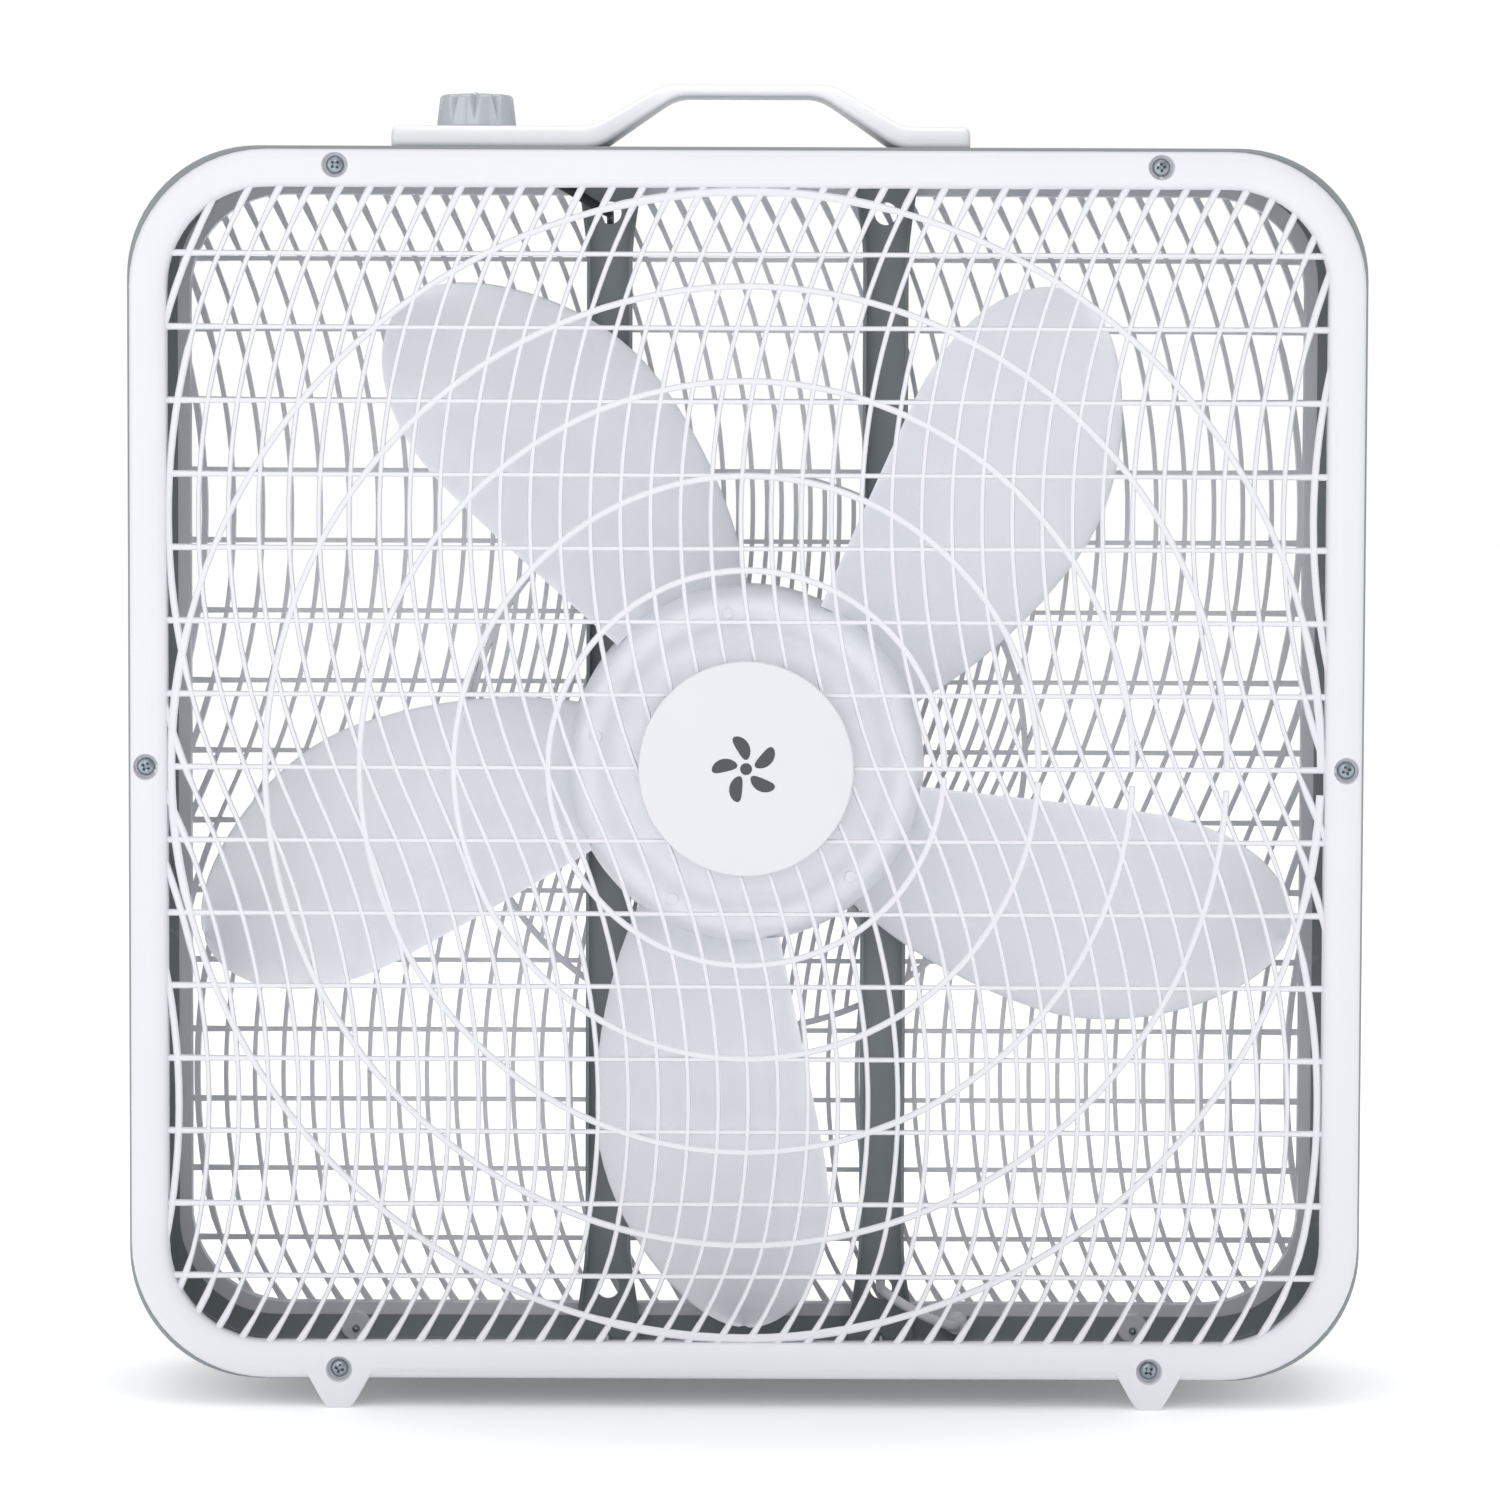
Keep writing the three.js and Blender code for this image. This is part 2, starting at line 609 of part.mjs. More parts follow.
function speedKnob() {
  const base = PANEL_TOP + GAP;
  const top = base + KNOB_HEIGHT;
  const [low, high] = [KNOB_DIAMETER / 2, KNOB_TOP_DIAMETER / 2];
  const blank = turnedZ(
    [
      [0, base],
      [low, base],
      [high, top - KNOB_SHOULDER],
      [high - KNOB_CROWN, top - KNOB_CROWN],
      [high - KNOB_SHOULDER, top],
      [0, top],
    ],
    KNOB_PLACE,
    0,
  );
  const valley = high - KNOB_FLUTE_DEPTH;
  const rim = low + THROUGH;
  const corners = [
    [valley, 0, top + THROUGH],
    [rim, KNOB_FLUTE_WIDTH / 2, top + THROUGH],
    [rim, -KNOB_FLUTE_WIDTH / 2, top + THROUGH],
    [rim, 0, base + KNOB_FLUTE_START],
  ];
  const flutes = Array.from({ length: KNOB_FLUTES }, (_, i) => {
    const flute = new ConvexGeometry(corners.map((corner) => new THREE.Vector3(...corner)));
    flute.rotateZ(((i + 0.5) * 2 * Math.PI) / KNOB_FLUTES);
    flute.translate(KNOB_PLACE, 0, 0);
    return solid(flute);
  });
  const bore = barZ(
    SPINDLE_DIAMETER / 2 + GAP,
    base - THROUGH,
    base + SPINDLE_ENGAGEMENT + GAP,
    KNOB_PLACE,
    0,
  );
  return cut(blank, [...flutes, bore]);
}

function addControls() {
  const switchTop = CASE_ROOF;
  const switchBase = switchTop - SWITCH_HEIGHT;
  const spindleTop = PANEL_TOP + GAP + SPINDLE_ENGAGEMENT;
  const spindleBase = switchTop - SWITCH_ENGAGEMENT;
  const half = SWITCH_SIZE / 2;
  const panelHoles = HANDLE_SCREWS.map((x) =>
    screwHoleZ(x, 0, PANEL_BASE - THROUGH, PANEL_BASE + PANEL_BOSS_DEPTH),
  );
  const panel = cut(plateY(handleOutline(), -PANEL_DEPTH / 2, PANEL_DEPTH / 2), [
    barZ(SPINDLE_DIAMETER, PANEL_BASE - THROUGH, PANEL_TOP + THROUGH, KNOB_PLACE, 0),
    ...panelHoles,
  ]);
  piece("handle_panel", whitePlastic, panel);
  piece("speed_knob", greyPlastic, speedKnob());
  piece(
    "switch_spindle",
    zincSteel,
    barZ(SPINDLE_DIAMETER / 2, spindleBase, spindleTop, KNOB_PLACE, 0),
  );
  const body = box(
    [KNOB_PLACE - half, KNOB_PLACE + half],
    [-half, half],
    [switchBase, switchTop],
  );
  const bore = barZ(
    SPINDLE_DIAMETER / 2 + GAP,
    spindleBase - GAP,
    switchTop + THROUGH,
    KNOB_PLACE,
    0,
  );
  const terminals = TERMINAL_PLACES.map((x) =>
    box(
      [KNOB_PLACE + x - TERMINAL_WIDTH / 2, KNOB_PLACE + x + TERMINAL_WIDTH / 2],
      [-TERMINAL_THICKNESS / 2, TERMINAL_THICKNESS / 2],
      [switchBase - TERMINAL_LENGTH, switchBase + THROUGH],
    ),
  );
  piece("switch_body", blackPlastic, cut(join([body, ...terminals]), [bore]));
  HANDLE_SCREWS.forEach((x, i) => {
    const face = CASE_ROOF - SCREW_HEAD_HEIGHT;
    const length = PANEL_BASE + PANEL_BOSS_DEPTH - GAP - face;
    piece(`handle_screw_${i + 1}`, zincSteel, screwZ(x, 0, face, length));
  });
}

// ---- Impeller ---------------------------------------------------------------------------

/** Degrees from a blade's tip line to its two edges, at a share of the way from hub to tip. */
function bladeEdges(share) {
  const past = Math.max(0, (share - BLADE_TIP_START) / (1 - BLADE_TIP_START));
  const closing = Math.sqrt(Math.max(0, 1 - past ** 2));
  const leading = BLADE_LEADING[0] + BLADE_LEADING[1] * share;
  const trailing = BLADE_TRAILING[0] + BLADE_TRAILING[1] * share + BLADE_TRAILING[2] * share ** 2;
  return [leading * closing, trailing * closing];
}

/** One blade: two skins over a grid of radius and chord, closed round the edge. */
function blade(turn) {
  const hubRadius = HUB_DIAMETER / 2;
  const tipRadius = FAN_DIAMETER / 2;
  const [rows, columns] = [BLADE_ROWS, BLADE_COLUMNS];
  const lastShare = 0.995; // just short of the tip, where the two edges would meet
  const positions = [];
  const point = (row, column, skin) => {
    const share = Math.min(row / rows, lastShare);
    const inner = hubRadius - HUB_WALL / 2;
    const radius = inner + share * (tipRadius - inner);
    const [leading, trailing] = bladeEdges(share);
    const across = column / columns;
    const angle = THREE.MathUtils.degToRad(leading + across * (trailing - leading));
    const pitch = BLADE_ROOT_PITCH + share * (BLADE_TIP_PITCH - BLADE_ROOT_PITCH);
    const slope = Math.tan(THREE.MathUtils.degToRad(pitch));
    const middle = THREE.MathUtils.degToRad((leading + trailing) / 2);
    const camber = BLADE_CAMBER * Math.sin(Math.PI * across);
    const y = BLADE_MIDDLE - slope * radius * (angle - middle) + camber;
    return [
      radius * Math.cos(turn + angle),
      y + skin * (BLADE_THICKNESS / 2),
      AXIS_Z + radius * Math.sin(turn + angle),
    ];
  };
  const quad = (a, b, c, d) => positions.push(...a, ...b, ...c, ...a, ...c, ...d);
  for (let r = 0; r < rows; r++) {
    for (let c = 0; c < columns; c++) {
      const [front, back] = [-1, 1];
      const corner = (dr, dc, skin) => point(r + dr, c + dc, skin);
      quad(corner(0, 0, front), corner(1, 0, front), corner(1, 1, front), corner(0, 1, front));
      quad(corner(0, 0, back), corner(0, 1, back), corner(1, 1, back), corner(1, 0, back));
    }
    quad(point(r, 0, -1), point(r, 0, 1), point(r + 1, 0, 1), point(r + 1, 0, -1));
    quad(
      point(r, columns, -1),
      point(r + 1, columns, -1),
      point(r + 1, columns, 1),
      point(r, columns, 1),
    );
  }
  for (let c = 0; c < columns; c++) {
    quad(point(0, c, -1), point(0, c + 1, -1), point(0, c + 1, 1), point(0, c, 1));
    quad(point(rows, c, -1), point(rows, c, 1), point(rows, c + 1, 1), point(rows, c + 1, -1));
  }
  const geometry = new THREE.BufferGeometry();
  geometry.setAttribute("position", new THREE.Float32BufferAttribute(positions, 3));
  return solid(geometry);
}

/** The hub's outside and inside: [share of its radius, depth behind its front face]. */
const HUB_OUTSIDE = [
  [0.62, 0.6],
  [0.78, 3.2],
  [0.84, 2.6],
  [0.94, 6.5],
  [1, 15],
];
const HUB_INSIDE = [
  [0.92, 9],
  [0.76, 5.6],
];
const HUB_INSIDE_CORNER = 16;
const HUB_FLOOR = 3;
const HUB_SIDES = 30;

function impeller() {
  const r = HUB_DIAMETER / 2;
  const bossFront = SHAFT_FRONT - GAP;
  const bossRear = MOTOR_FRONT - BOSS_SETBACK;
  const bore = SHAFT_RADIUS + GAP;
  const curve = (points) => points.map(([share, depth]) => [share * r, HUB_FRONT + depth]);
  const profile = [
    [0, HUB_FRONT],
    ...curve(HUB_OUTSIDE),
    [r, HUB_REAR],
    [r - HUB_WALL, HUB_REAR],
    [r - HUB_WALL, HUB_FRONT + HUB_INSIDE_CORNER],
    ...curve(HUB_INSIDE),
    [BOSS_DIAMETER / 2, HUB_FRONT + HUB_FLOOR],
    [BOSS_DIAMETER / 2, bossRear],
    [bore, bossRear],
    [bore, bossFront],
    [0, bossFront],
  ];
  const hub = turnedY(profile, 0, AXIS_Z, HUB_SIDES);
  const blades = Array.from({ length: BLADE_COUNT }, (_, i) =>
    blade(-Math.PI / 2 + (i * 2 * Math.PI) / BLADE_COUNT),
  );
  return join([hub, ...blades]);
}

/** A ring about the fan's axis. */
function ringY(outer, inner, from, to, sides = 24) {
  return turnedY(
    [
      [inner, from],
      [outer, from],
      [outer, to],
      [inner, to],
      [inner, from],
    ],
    0,
    AXIS_Z,
    sides,
  );
}

function addRotor() {
  piece("fan_impeller", hubPlastic, impeller());
  const clipRear = MOTOR_FRONT - BOSS_SETBACK - THROUGH;
  const boss = BOSS_DIAMETER / 2 + GAP;
  piece(
    "hub_clip",
    brightSteel,
    ringY(boss + CLIP_WALL, boss, clipRear - CLIP_LENGTH, clipRear, 20),
  );
  const shaftRear = MOTOR_REAR - SHIELD_WALL;
  piece("motor_shaft", brightSteel, barY(SHAFT_RADIUS, SHAFT_FRONT, shaftRear, 0, AXIS_Z, 16));
  const washerRear = MOTOR_FRONT - GAP;
  piece(
    "thrust_washer",
    bronze,
    ringY(WASHER_DIAMETER / 2, SHAFT_RADIUS + GAP, washerRear - WASHER_THICKNESS, washerRear, 16),
  );
  const rotorFront = STATOR_FRONT - AIR_GAP;
  const rotorRear = STATOR_REAR + AIR_GAP;
  const bore = SHAFT_RADIUS + GAP;
  piece("rotor_core", castMetal, ringY(ROTOR_DIAMETER / 2, bore, rotorFront, rotorRear));
}

// ---- Motor ------------------------------------------------------------------------------

/** Places round the motor axis: [x, z] at a radius, for each angle in degrees. */
function around(radius, angles) {
  return angles.map((angle) => {
    const turn = THREE.MathUtils.degToRad(angle);
    return [radius * Math.cos(turn), AXIS_Z + radius * Math.sin(turn)];
  });
}

const MOTOR_BOLTS = around(MOTOR_BOLT_CIRCLE / 2, MOTOR_BOLT_ANGLES);
const BRACKET_SCREWS = [-STRAP_PLACE, STRAP_PLACE].flatMap((x) =>
  [-BRACKET_SCREW_PLACE, BRACKET_SCREW_PLACE].map((rise) => [x, AXIS_Z + rise]),
);

function boltCuts(from, to) {
  const radius = MOTOR_BOLT_DIAMETER / 2 + GAP;
  return MOTOR_BOLTS.map(([x, z]) => barY(radius, from, to, x, z, 10));
}

/** A cup-shaped end shield; `face` is its closed end and `mouth` its open one. */
function endShield(face, mouth) {
  const inward = Math.sign(mouth - face);
  const radius = MOTOR_DIAMETER / 2;
  const floor = face + inward * SHIELD_WALL;
  const bushEnd = face + inward * (SHIELD_WALL + BUSH_LENGTH);
  const bush = BUSH_DIAMETER / 2 + GAP;
  const clear = SHAFT_RADIUS + 2 * GAP;
  const profile = [
    [clear, face],
    [radius, face],
    [radius, mouth],
    [radius - SHIELD_WALL, mouth],
    [radius - SHIELD_WALL, floor],
    [bush + SHIELD_WALL, floor],
    [bush + SHIELD_WALL, bushEnd],
    [bush, bushEnd],
    [bush, floor],
    [clear, floor],
    [clear, face],
  ];
  const cup = turnedY(inward > 0 ? profile : profile.reverse());
  return cut(cup, boltCuts(Math.min(face, mouth) - THROUGH, Math.max(face, mouth) + THROUGH));
}

/** A box round the motor axis, turned to a pole's angle: sizes along the radius and across. */
function radialBox(angle, [inner, outer], width, [from, to]) {
  const geometry = new THREE.BoxGeometry(outer - inner, to - from, width);
  geometry.translate((inner + outer) / 2, (from + to) / 2, 0);
  geometry.rotateY(-THREE.MathUtils.degToRad(angle));
  geometry.translate(0, 0, AXIS_Z);
  return solid(geometry);
}

function addMotor() {
  const radius = MOTOR_DIAMETER / 2;
  const yoke = radius - STATOR_YOKE;
  const bore = ROTOR_DIAMETER / 2 + AIR_GAP;
  const poleAngles = Array.from({ length: POLE_COUNT }, (_, i) => (i * 360) / POLE_COUNT);
  const span = [STATOR_FRONT, STATOR_REAR];
  const poles = poleAngles.map((angle) =>
    radialBox(angle, [bore - POLE_REACH, yoke + POLE_ROOT], POLE_WIDTH, span),
  );
  const stator = cut(join([ringY(radius, yoke, ...span), ...poles]), [
    barY(bore, STATOR_FRONT - THROUGH, STATOR_REAR + THROUGH, 0, AXIS_Z, 24),
    ...boltCuts(STATOR_FRONT - THROUGH, STATOR_REAR + THROUGH),
  ]);
  piece("motor_front_shield", castMetal, endShield(MOTOR_FRONT, STATOR_FRONT - GAP));
  piece("motor_rear_shield", castMetal, endShield(MOTOR_REAR, STATOR_REAR + GAP));
  piece("stator_core", darkSteel, stator);
  poleAngles.forEach((angle, i) => {
    const coilWidth = POLE_WIDTH + 2 * COIL_THICKNESS;
    const coilEnd = Math.sqrt((yoke - 2 * GAP) ** 2 - (coilWidth / 2) ** 2);
    const outer = radialBox(angle, [bore + COIL_SETBACK, coilEnd], coilWidth, [
      STATOR_FRONT - COIL_THICKNESS,
      STATOR_REAR + COIL_THICKNESS,
    ]);
    const hole = radialBox(angle, [bore, yoke], POLE_WIDTH + 2 * GAP, [
      STATOR_FRONT - GAP,
      STATOR_REAR + GAP,
    ]);
    piece(`coil_${i + 1}`, copper, cut(outer, [hole]));
  });
  const bushRadii = [BUSH_DIAMETER / 2, SHAFT_RADIUS + GAP];
  const frontBush = MOTOR_FRONT + SHIELD_WALL + GAP;
  const rearBush = MOTOR_REAR - SHIELD_WALL - GAP;
  piece("front_bush", bronze, ringY(...bushRadii, frontBush, frontBush + BUSH_LENGTH, 20));
  piece("rear_bush", bronze, ringY(...bushRadii, rearBush - BUSH_LENGTH, rearBush, 20));
}

// ---- Straps and bracket ---------------------------------------------------------------

/** A folded upright: a flared web with side flanges, and a tab at each end. */
function strap(x) {
  const [half, endHalf] = [STRAP_WIDTH / 2, STRAP_END_WIDTH / 2];
  const web = polygon([
    [x - endHalf, CASE_FLOOR],
    [x + endHalf, CASE_FLOOR],
    [x + half, CASE_FLOOR + STRAP_FLARE],
    [x + half, CASE_ROOF - STRAP_FLARE],
    [x + endHalf, CASE_ROOF],
    [x - endHalf, CASE_ROOF],
    [x - half, CASE_ROOF - STRAP_FLARE],
    [x - half, CASE_FLOOR + STRAP_FLARE],
  ]);
  const flangeSpan = [CASE_FLOOR + STRAP_FLARE, CASE_ROOF - STRAP_FLARE];
  const flanges = [x - half, x + half - STRAP_THICKNESS].map((left) =>
    box([left, left + STRAP_THICKNESS], [STRAP_BACK - STRAP_FLANGE, STRAP_BACK], flangeSpan),
  );
  const tabSpan = [STRAP_BACK - STRAP_TAB, STRAP_BACK];
  const tabs = [CASE_FLOOR, CASE_ROOF - STRAP_THICKNESS].map((z) =>
    box([x - endHalf, x + endHalf], tabSpan, [z, z + STRAP_THICKNESS]),
  );
  const holes = [CASE_FLOOR + STRAP_HOLE_HEIGHT, CASE_ROOF - STRAP_HOLE_HEIGHT].map((z) =>
    barY(STRAP_HOLE_DIAMETER / 2, STRAP_FACE - THROUGH, STRAP_BACK + THROUGH, x, z, 20),
  );
  const bracketHoles = BRACKET_SCREWS.filter(([place]) => place === x).map(([place, z]) =>
    screwHoleY(place, z, STRAP_FACE, STRAP_BACK),
  );
  const tabHole = screwHoleZ(x, STRAP_SCREW_Y, FOOT_HEIGHT, CASE_TOP);
  const plate = plateY(web, STRAP_FACE, STRAP_BACK);
  return cut(join([plate, ...flanges, ...tabs]), [...holes, ...bracketHoles, tabHole]);
}

function addStraps() {
  piece("strap_left", darkSteel, strap(-STRAP_PLACE));
  piece("strap_right", darkSteel, strap(STRAP_PLACE));
  const reach = STRAP_PLACE + STRAP_WIDTH / 2;
  const rise = BRACKET_HEIGHT / 2;
  const plate = box([-reach, reach], [BRACKET_FACE, BRACKET_BACK], [AXIS_Z - rise, AXIS_Z + rise]);
  const screwHoles = BRACKET_SCREWS.map(([x, z]) =>
    screwHoleY(x, z, BRACKET_FACE, BRACKET_BACK),
  );
  const ventRadius = BUSH_DIAMETER / 2 + BRACKET_VENT_MARGIN;
  const vent = barY(ventRadius, BRACKET_FACE - THROUGH, BRACKET_BACK + THROUGH, 0, AXIS_Z, 24);
  const boltHoles = boltCuts(BRACKET_FACE - THROUGH, BRACKET_BACK + THROUGH);
  piece("motor_bracket", darkSteel, cut(plate, [vent, ...boltHoles, ...screwHoles]));
  const headFace = BRACKET_BACK + GAP + SCREW_HEAD_HEIGHT;
  BRACKET_SCREWS.forEach(([x, z], i) => {
    const screw = screwY(x, z, headFace, BRACKET_SCREW_LENGTH, true);
    piece(`bracket_screw_${i + 1}`, zincSteel, screw);
  });
  MOTOR_BOLTS.forEach(([x, z], i) => {
    const nutRear = MOTOR_FRONT - GAP;
    const nut = barY(NUT_RADIUS, nutRear - NUT_HEIGHT, nutRear, x, z, 6);
    const bolt = screwY(x, z, headFace, headFace - nutRear + BOLT_OVERHANG, true);
    piece(`motor_bolt_${i + 1}`, zincSteel, join([bolt, nut]));
  });
  [-STRAP_PLACE, STRAP_PLACE].forEach((x, i) => {
    const reachIn = CASE_WALL + STRAP_THICKNESS + SCREW_HEAD_HEIGHT + STRAP_SCREW_GRIP;
    const below = FOOT_HEIGHT - GAP - SCREW_HEAD_HEIGHT;
    const above = CASE_TOP + GAP + SCREW_HEAD_HEIGHT;
    piece(`strap_screw_${2 * i + 1}`, zincSteel, screwZ(x, STRAP_SCREW_Y, below, reachIn));
    piece(`strap_screw_${2 * i + 2}`, zincSteel, screwZ(x, STRAP_SCREW_Y, above, reachIn, true));
  });
}

// ---- Cords ------------------------------------------------------------------------------

/** An oval section swept along a route; a level one keeps its first axis horizontal. */
function sweptTube(points, width, thickness, steps, level) {
  const route = new THREE.CatmullRomCurve3(points.map((p) => new THREE.Vector3(...p)));
  route.curveType = "centripetal";
  if (level) {
    route.computeFrenetFrames = (count) => {
      const tangents = Array.from({ length: count + 1 }, (_, i) => route.getTangentAt(i / count));
      const normals = tangents.map((t) => new THREE.Vector3(-t.y, t.x, 0).normalize());
      const binormals = tangents.map((t, i) => t.clone().cross(normals[i]));
      return { tangents, normals, binormals };
    };
  }
  const section = polygon(
    Array.from({ length: CORD_SIDES }, (_, i) => {
      const turn = ((i + 0.5) * 2 * Math.PI) / CORD_SIDES;
      return [(width / 2) * Math.cos(turn), (thickness / 2) * Math.sin(turn)];
    }),
  );
  return solid(new THREE.ExtrudeGeometry(section, { extrudePath: route, steps }));
}

/** A point of the hank's turns, and of any oval grown outwards from them by `offset`. */
function hankPoint(turn, offset = 0) {
  const [sine, cosine] = [Math.sin(turn), Math.cos(turn)];
  const x = HANK_HALF_LENGTH * cosine;
  const y = HANK_SWELL * sine * (1 - HANK_PINCH * sine ** 2);
  const dx = -HANK_HALF_LENGTH * sine;
  const dy = HANK_SWELL * cosine * (1 - 3 * HANK_PINCH * sine ** 2);
  const speed = Math.hypot(dx, dy);
  return [HANK_X + x + (offset * dy) / speed, HANK_Y + y - (offset * dx) / speed];
}

/** The mains cord to the hank: X, distance behind the strain relief, and Z. */
const CORD_ROUTE = [
  [95, 0.4, 19.5],
  [95, 6, 19.3],
  [94.5, 12, 18.2],
  [92, 19, 15.6],
  [87.5, 24.6, 11.6],
  [81, 28.2, 7.7],
  [74, 29.7, 5],
  [68, 29.9, 3.7],
  [62.2, 29.8, 3.3],
].map(([x, back, z]) => [x, RELIEF_REAR + back, z]);

/** The mains cord from the hank to the plug: X, distance behind the hank's middle, and Z. */
const CORD_TAIL_ROUTE = [
  [-78.4, 20.6, 10.3],
  [-86, 19.6, 9.8],
  [-94, 17.8, 9.2],
  [-101, 16, 8.7],
  [-108, 15.1, 8.4],
  [-115.6, 15, 8.3],
].map(([x, back, z]) => [x, HANK_Y + back, z]);

/** Where a lead leaves its strap for the motor: X, distance before the case's rear face, Z. */
const LEAD_TO_MOTOR = [
  [61, -0.2, -115.5],
  [59, -0.2, -95.5],
  [53, 0, -79.5],
  [46, 2, -65.5],
];

/** A lead's end at the motor: distance outside the motor, degrees below level, and before. */
const LEAD_AT_MOTOR = [
  [24.7, 52, 5.5],
  [12.9, 49.1, 8.5],
  [1.7, 45.7, 10.5],
];

/** The end of a lead, from its strap to the motor; `side` is 1 on the right and below. */
function leadEnd(side) {
  const fromStrap = LEAD_TO_MOTOR.map(([x, before, rise]) => [
    side * x,
    CASE_FACE - before,
    AXIS_Z + side * rise,
  ]);
  const atMotor = LEAD_AT_MOTOR.map(([out, angle, before]) => {
    const [[x, z]] = around(MOTOR_DIAMETER / 2 + out, [side > 0 ? -angle : 180 - angle]);
    return [x, CASE_FACE - before, z];
  });
  return [...fromStrap, ...atMotor];
}

/** The lead from the strain relief to the motor, through the right strap's lower hole. */
const SUPPLY_ROUTE = [
  ...[
    [95, 7.5, 19.5],
    [94.4, 13, 20],
    [90, 17.5, 21.8],
    [82, 19.2, 25],
    [73, 18.8, 29.5],
    [66, 16, 33.5],
    [62, 11, 35.6],
    [61, 5, 36.2],
    [61, 1, 39],
    [61, -0.2, 45],
    [61, -0.2, 80],
  ].map(([x, before, z]) => [x, CASE_FACE - before, z]),
  ...leadEnd(1),
];

/** The lead from the switch to the motor, through the left strap's upper hole. */
const SWITCH_ROUTE = [
  ...[
    [-102.3, 0, 9],
    [-97, 0.02, 9.1],
    [-90, 0.13, 10.2],
    [-82, 0.3, 14],
    [-73, 0.5, 19.2],
    [-66, 0.674, 23.4],
    [-61.6, 0.793, 25.3],
    [-61, 0.891, 25.9],
    [-61, 0.978, 29],
    [-61, 1.004, 35.5],
    [-61, 1.004, 70.5],
  ].map(([x, share, below]) => [x, CASE_FACE * share, CASE_TOP - below]),
  ...leadEnd(-1),
];

function strainRelief() {
  const inner = CASE_FACE - CASE_WALL - GAP;
  const rimFace = RIM_REAR_FACE + GAP;
  const flangeRear = rimFace + RELIEF_FLANGE_THICKNESS;
  const radius = RELIEF_DIAMETER / 2;
  const [tip, edge] = RELIEF_BARB_LENGTHS;
  const profile = [
    [0, inner - tip],
    [CORD_WIDTH / 2 + RELIEF_BARB, inner - tip],
    [radius + RELIEF_BARB, inner - edge],
    [radius + RELIEF_BARB, inner],
    [radius, inner],
    [radius, rimFace],
    [RELIEF_FLANGE_DIAMETER / 2, rimFace],
    [RELIEF_FLANGE_DIAMETER / 2, flangeRear],
    [radius, flangeRear + GAP],
    [RELIEF_TAIL_DIAMETER / 2, RELIEF_REAR],
    [0, RELIEF_REAR],
  ];
  return turnedY(profile, RELIEF_PLACE, RELIEF_HEIGHT, 20);
}

function addCords() {
  piece("strain_relief", whiteVinyl, strainRelief());
  const lead = (route, steps) => sweptTube(route, LEAD_DIAMETER, LEAD_DIAMETER, steps, false);
  const cord = (route, steps) => sweptTube(route, CORD_WIDTH, CORD_THICKNESS, steps, true);
  piece("supply_lead", whiteVinyl, lead(SUPPLY_ROUTE, 36));
  piece("switch_lead", blackPlastic, lead(SWITCH_ROUTE, 34));
  piece("mains_cord", whiteVinyl, cord(CORD_ROUTE, 14));
  piece("cord_tail", whiteVinyl, cord(CORD_TAIL_ROUTE, 8));

  const hankBase = TIE_THICKNESS + HANK_CLEARANCE;
  const hankTop = hankBase + HANK_LAYERS * HANK_LAYER_STEP + GAP;
  const growth = (HANK_COLUMNS - 1) * HANK_COLUMN_STEP + CORD_WIDTH / 2 + GAP;
  const turns = Array.from({ length: HANK_SIDES }, (_, i) => (i * 2 * Math.PI) / HANK_SIDES);
  const outline = polygon(turns.map((turn) => hankPoint(turn, growth)));
  piece("cord_hank", whiteVinyl, plateZ(outline, hankBase, hankTop));

  const tieTurn = Math.acos((TIE_WIDTH + 4 * GAP) / 2 / HANK_HALF_LENGTH);
  const waist = hankPoint(tieTurn, growth)[1] - HANK_Y + GAP;
  const tieSides = [HANK_Y - waist, HANK_Y + waist];
  const tieHeights = [hankBase - GAP, hankTop + GAP];
  const [tieLeft, tieRight] = [HANK_X - TIE_WIDTH / 2, HANK_X + TIE_WIDTH / 2];
  const grown = ([low, high]) => [low - TIE_THICKNESS, high + TIE_THICKNESS];
  const wrap = box([tieLeft, tieRight], grown(tieSides), grown(tieHeights));
  const inside = box([tieLeft - THROUGH, tieRight + THROUGH], tieSides, tieHeights);
  piece("cord_tie", blackPlastic, cut(wrap, [inside]));

  const plugEnd = PLUG_X - PLUG_LENGTH;
  const shoulder = PLUG_X - PLUG_SHOULDER * PLUG_LENGTH;
  const plugOutline = polygon([
    [PLUG_X, PLUG_Y - PLUG_NECK_WIDTH / 2],
    [PLUG_X, PLUG_Y + PLUG_NECK_WIDTH / 2],
    [shoulder, PLUG_Y + PLUG_WIDTH / 2],
    [plugEnd, PLUG_Y + PLUG_WIDTH / 2],
    [plugEnd, PLUG_Y - PLUG_WIDTH / 2],
    [shoulder, PLUG_Y - PLUG_WIDTH / 2],
  ]);
  piece("plug_body", whiteVinyl, plateZ(plugOutline, PLUG_BASE, PLUG_BASE + PLUG_THICKNESS));
  const prongMiddle = PLUG_BASE + PLUG_THICKNESS / 2;
  [-1, 1].forEach((side, i) => {
    const y = PLUG_Y + (side * PRONG_SPACING) / 2;
    const prong = box(
      [plugEnd - GAP - PRONG_LENGTH, plugEnd - GAP],
      [y - PRONG_THICKNESS / 2, y + PRONG_THICKNESS / 2],
      [prongMiddle - PRONG_WIDTH / 2, prongMiddle + PRONG_WIDTH / 2],
    );
    piece(`plug_prong_${i + 1}`, brass, prong);
  });
}

piece("case_band", darkSteel, caseBand());
addGrilles();
addControls();
addRotor();
addMotor();
addStraps();
addCords();

export default boxFan;
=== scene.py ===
"""The looks of a box fan: moulded grilles, painted sheet steel, a pale impeller and a folded cord.

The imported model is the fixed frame. Places come from its nodes, and lengths are metres in its
own axes: +X to the right seen from the front, the front facing -Y, and +Z up.
"""

from __future__ import annotations

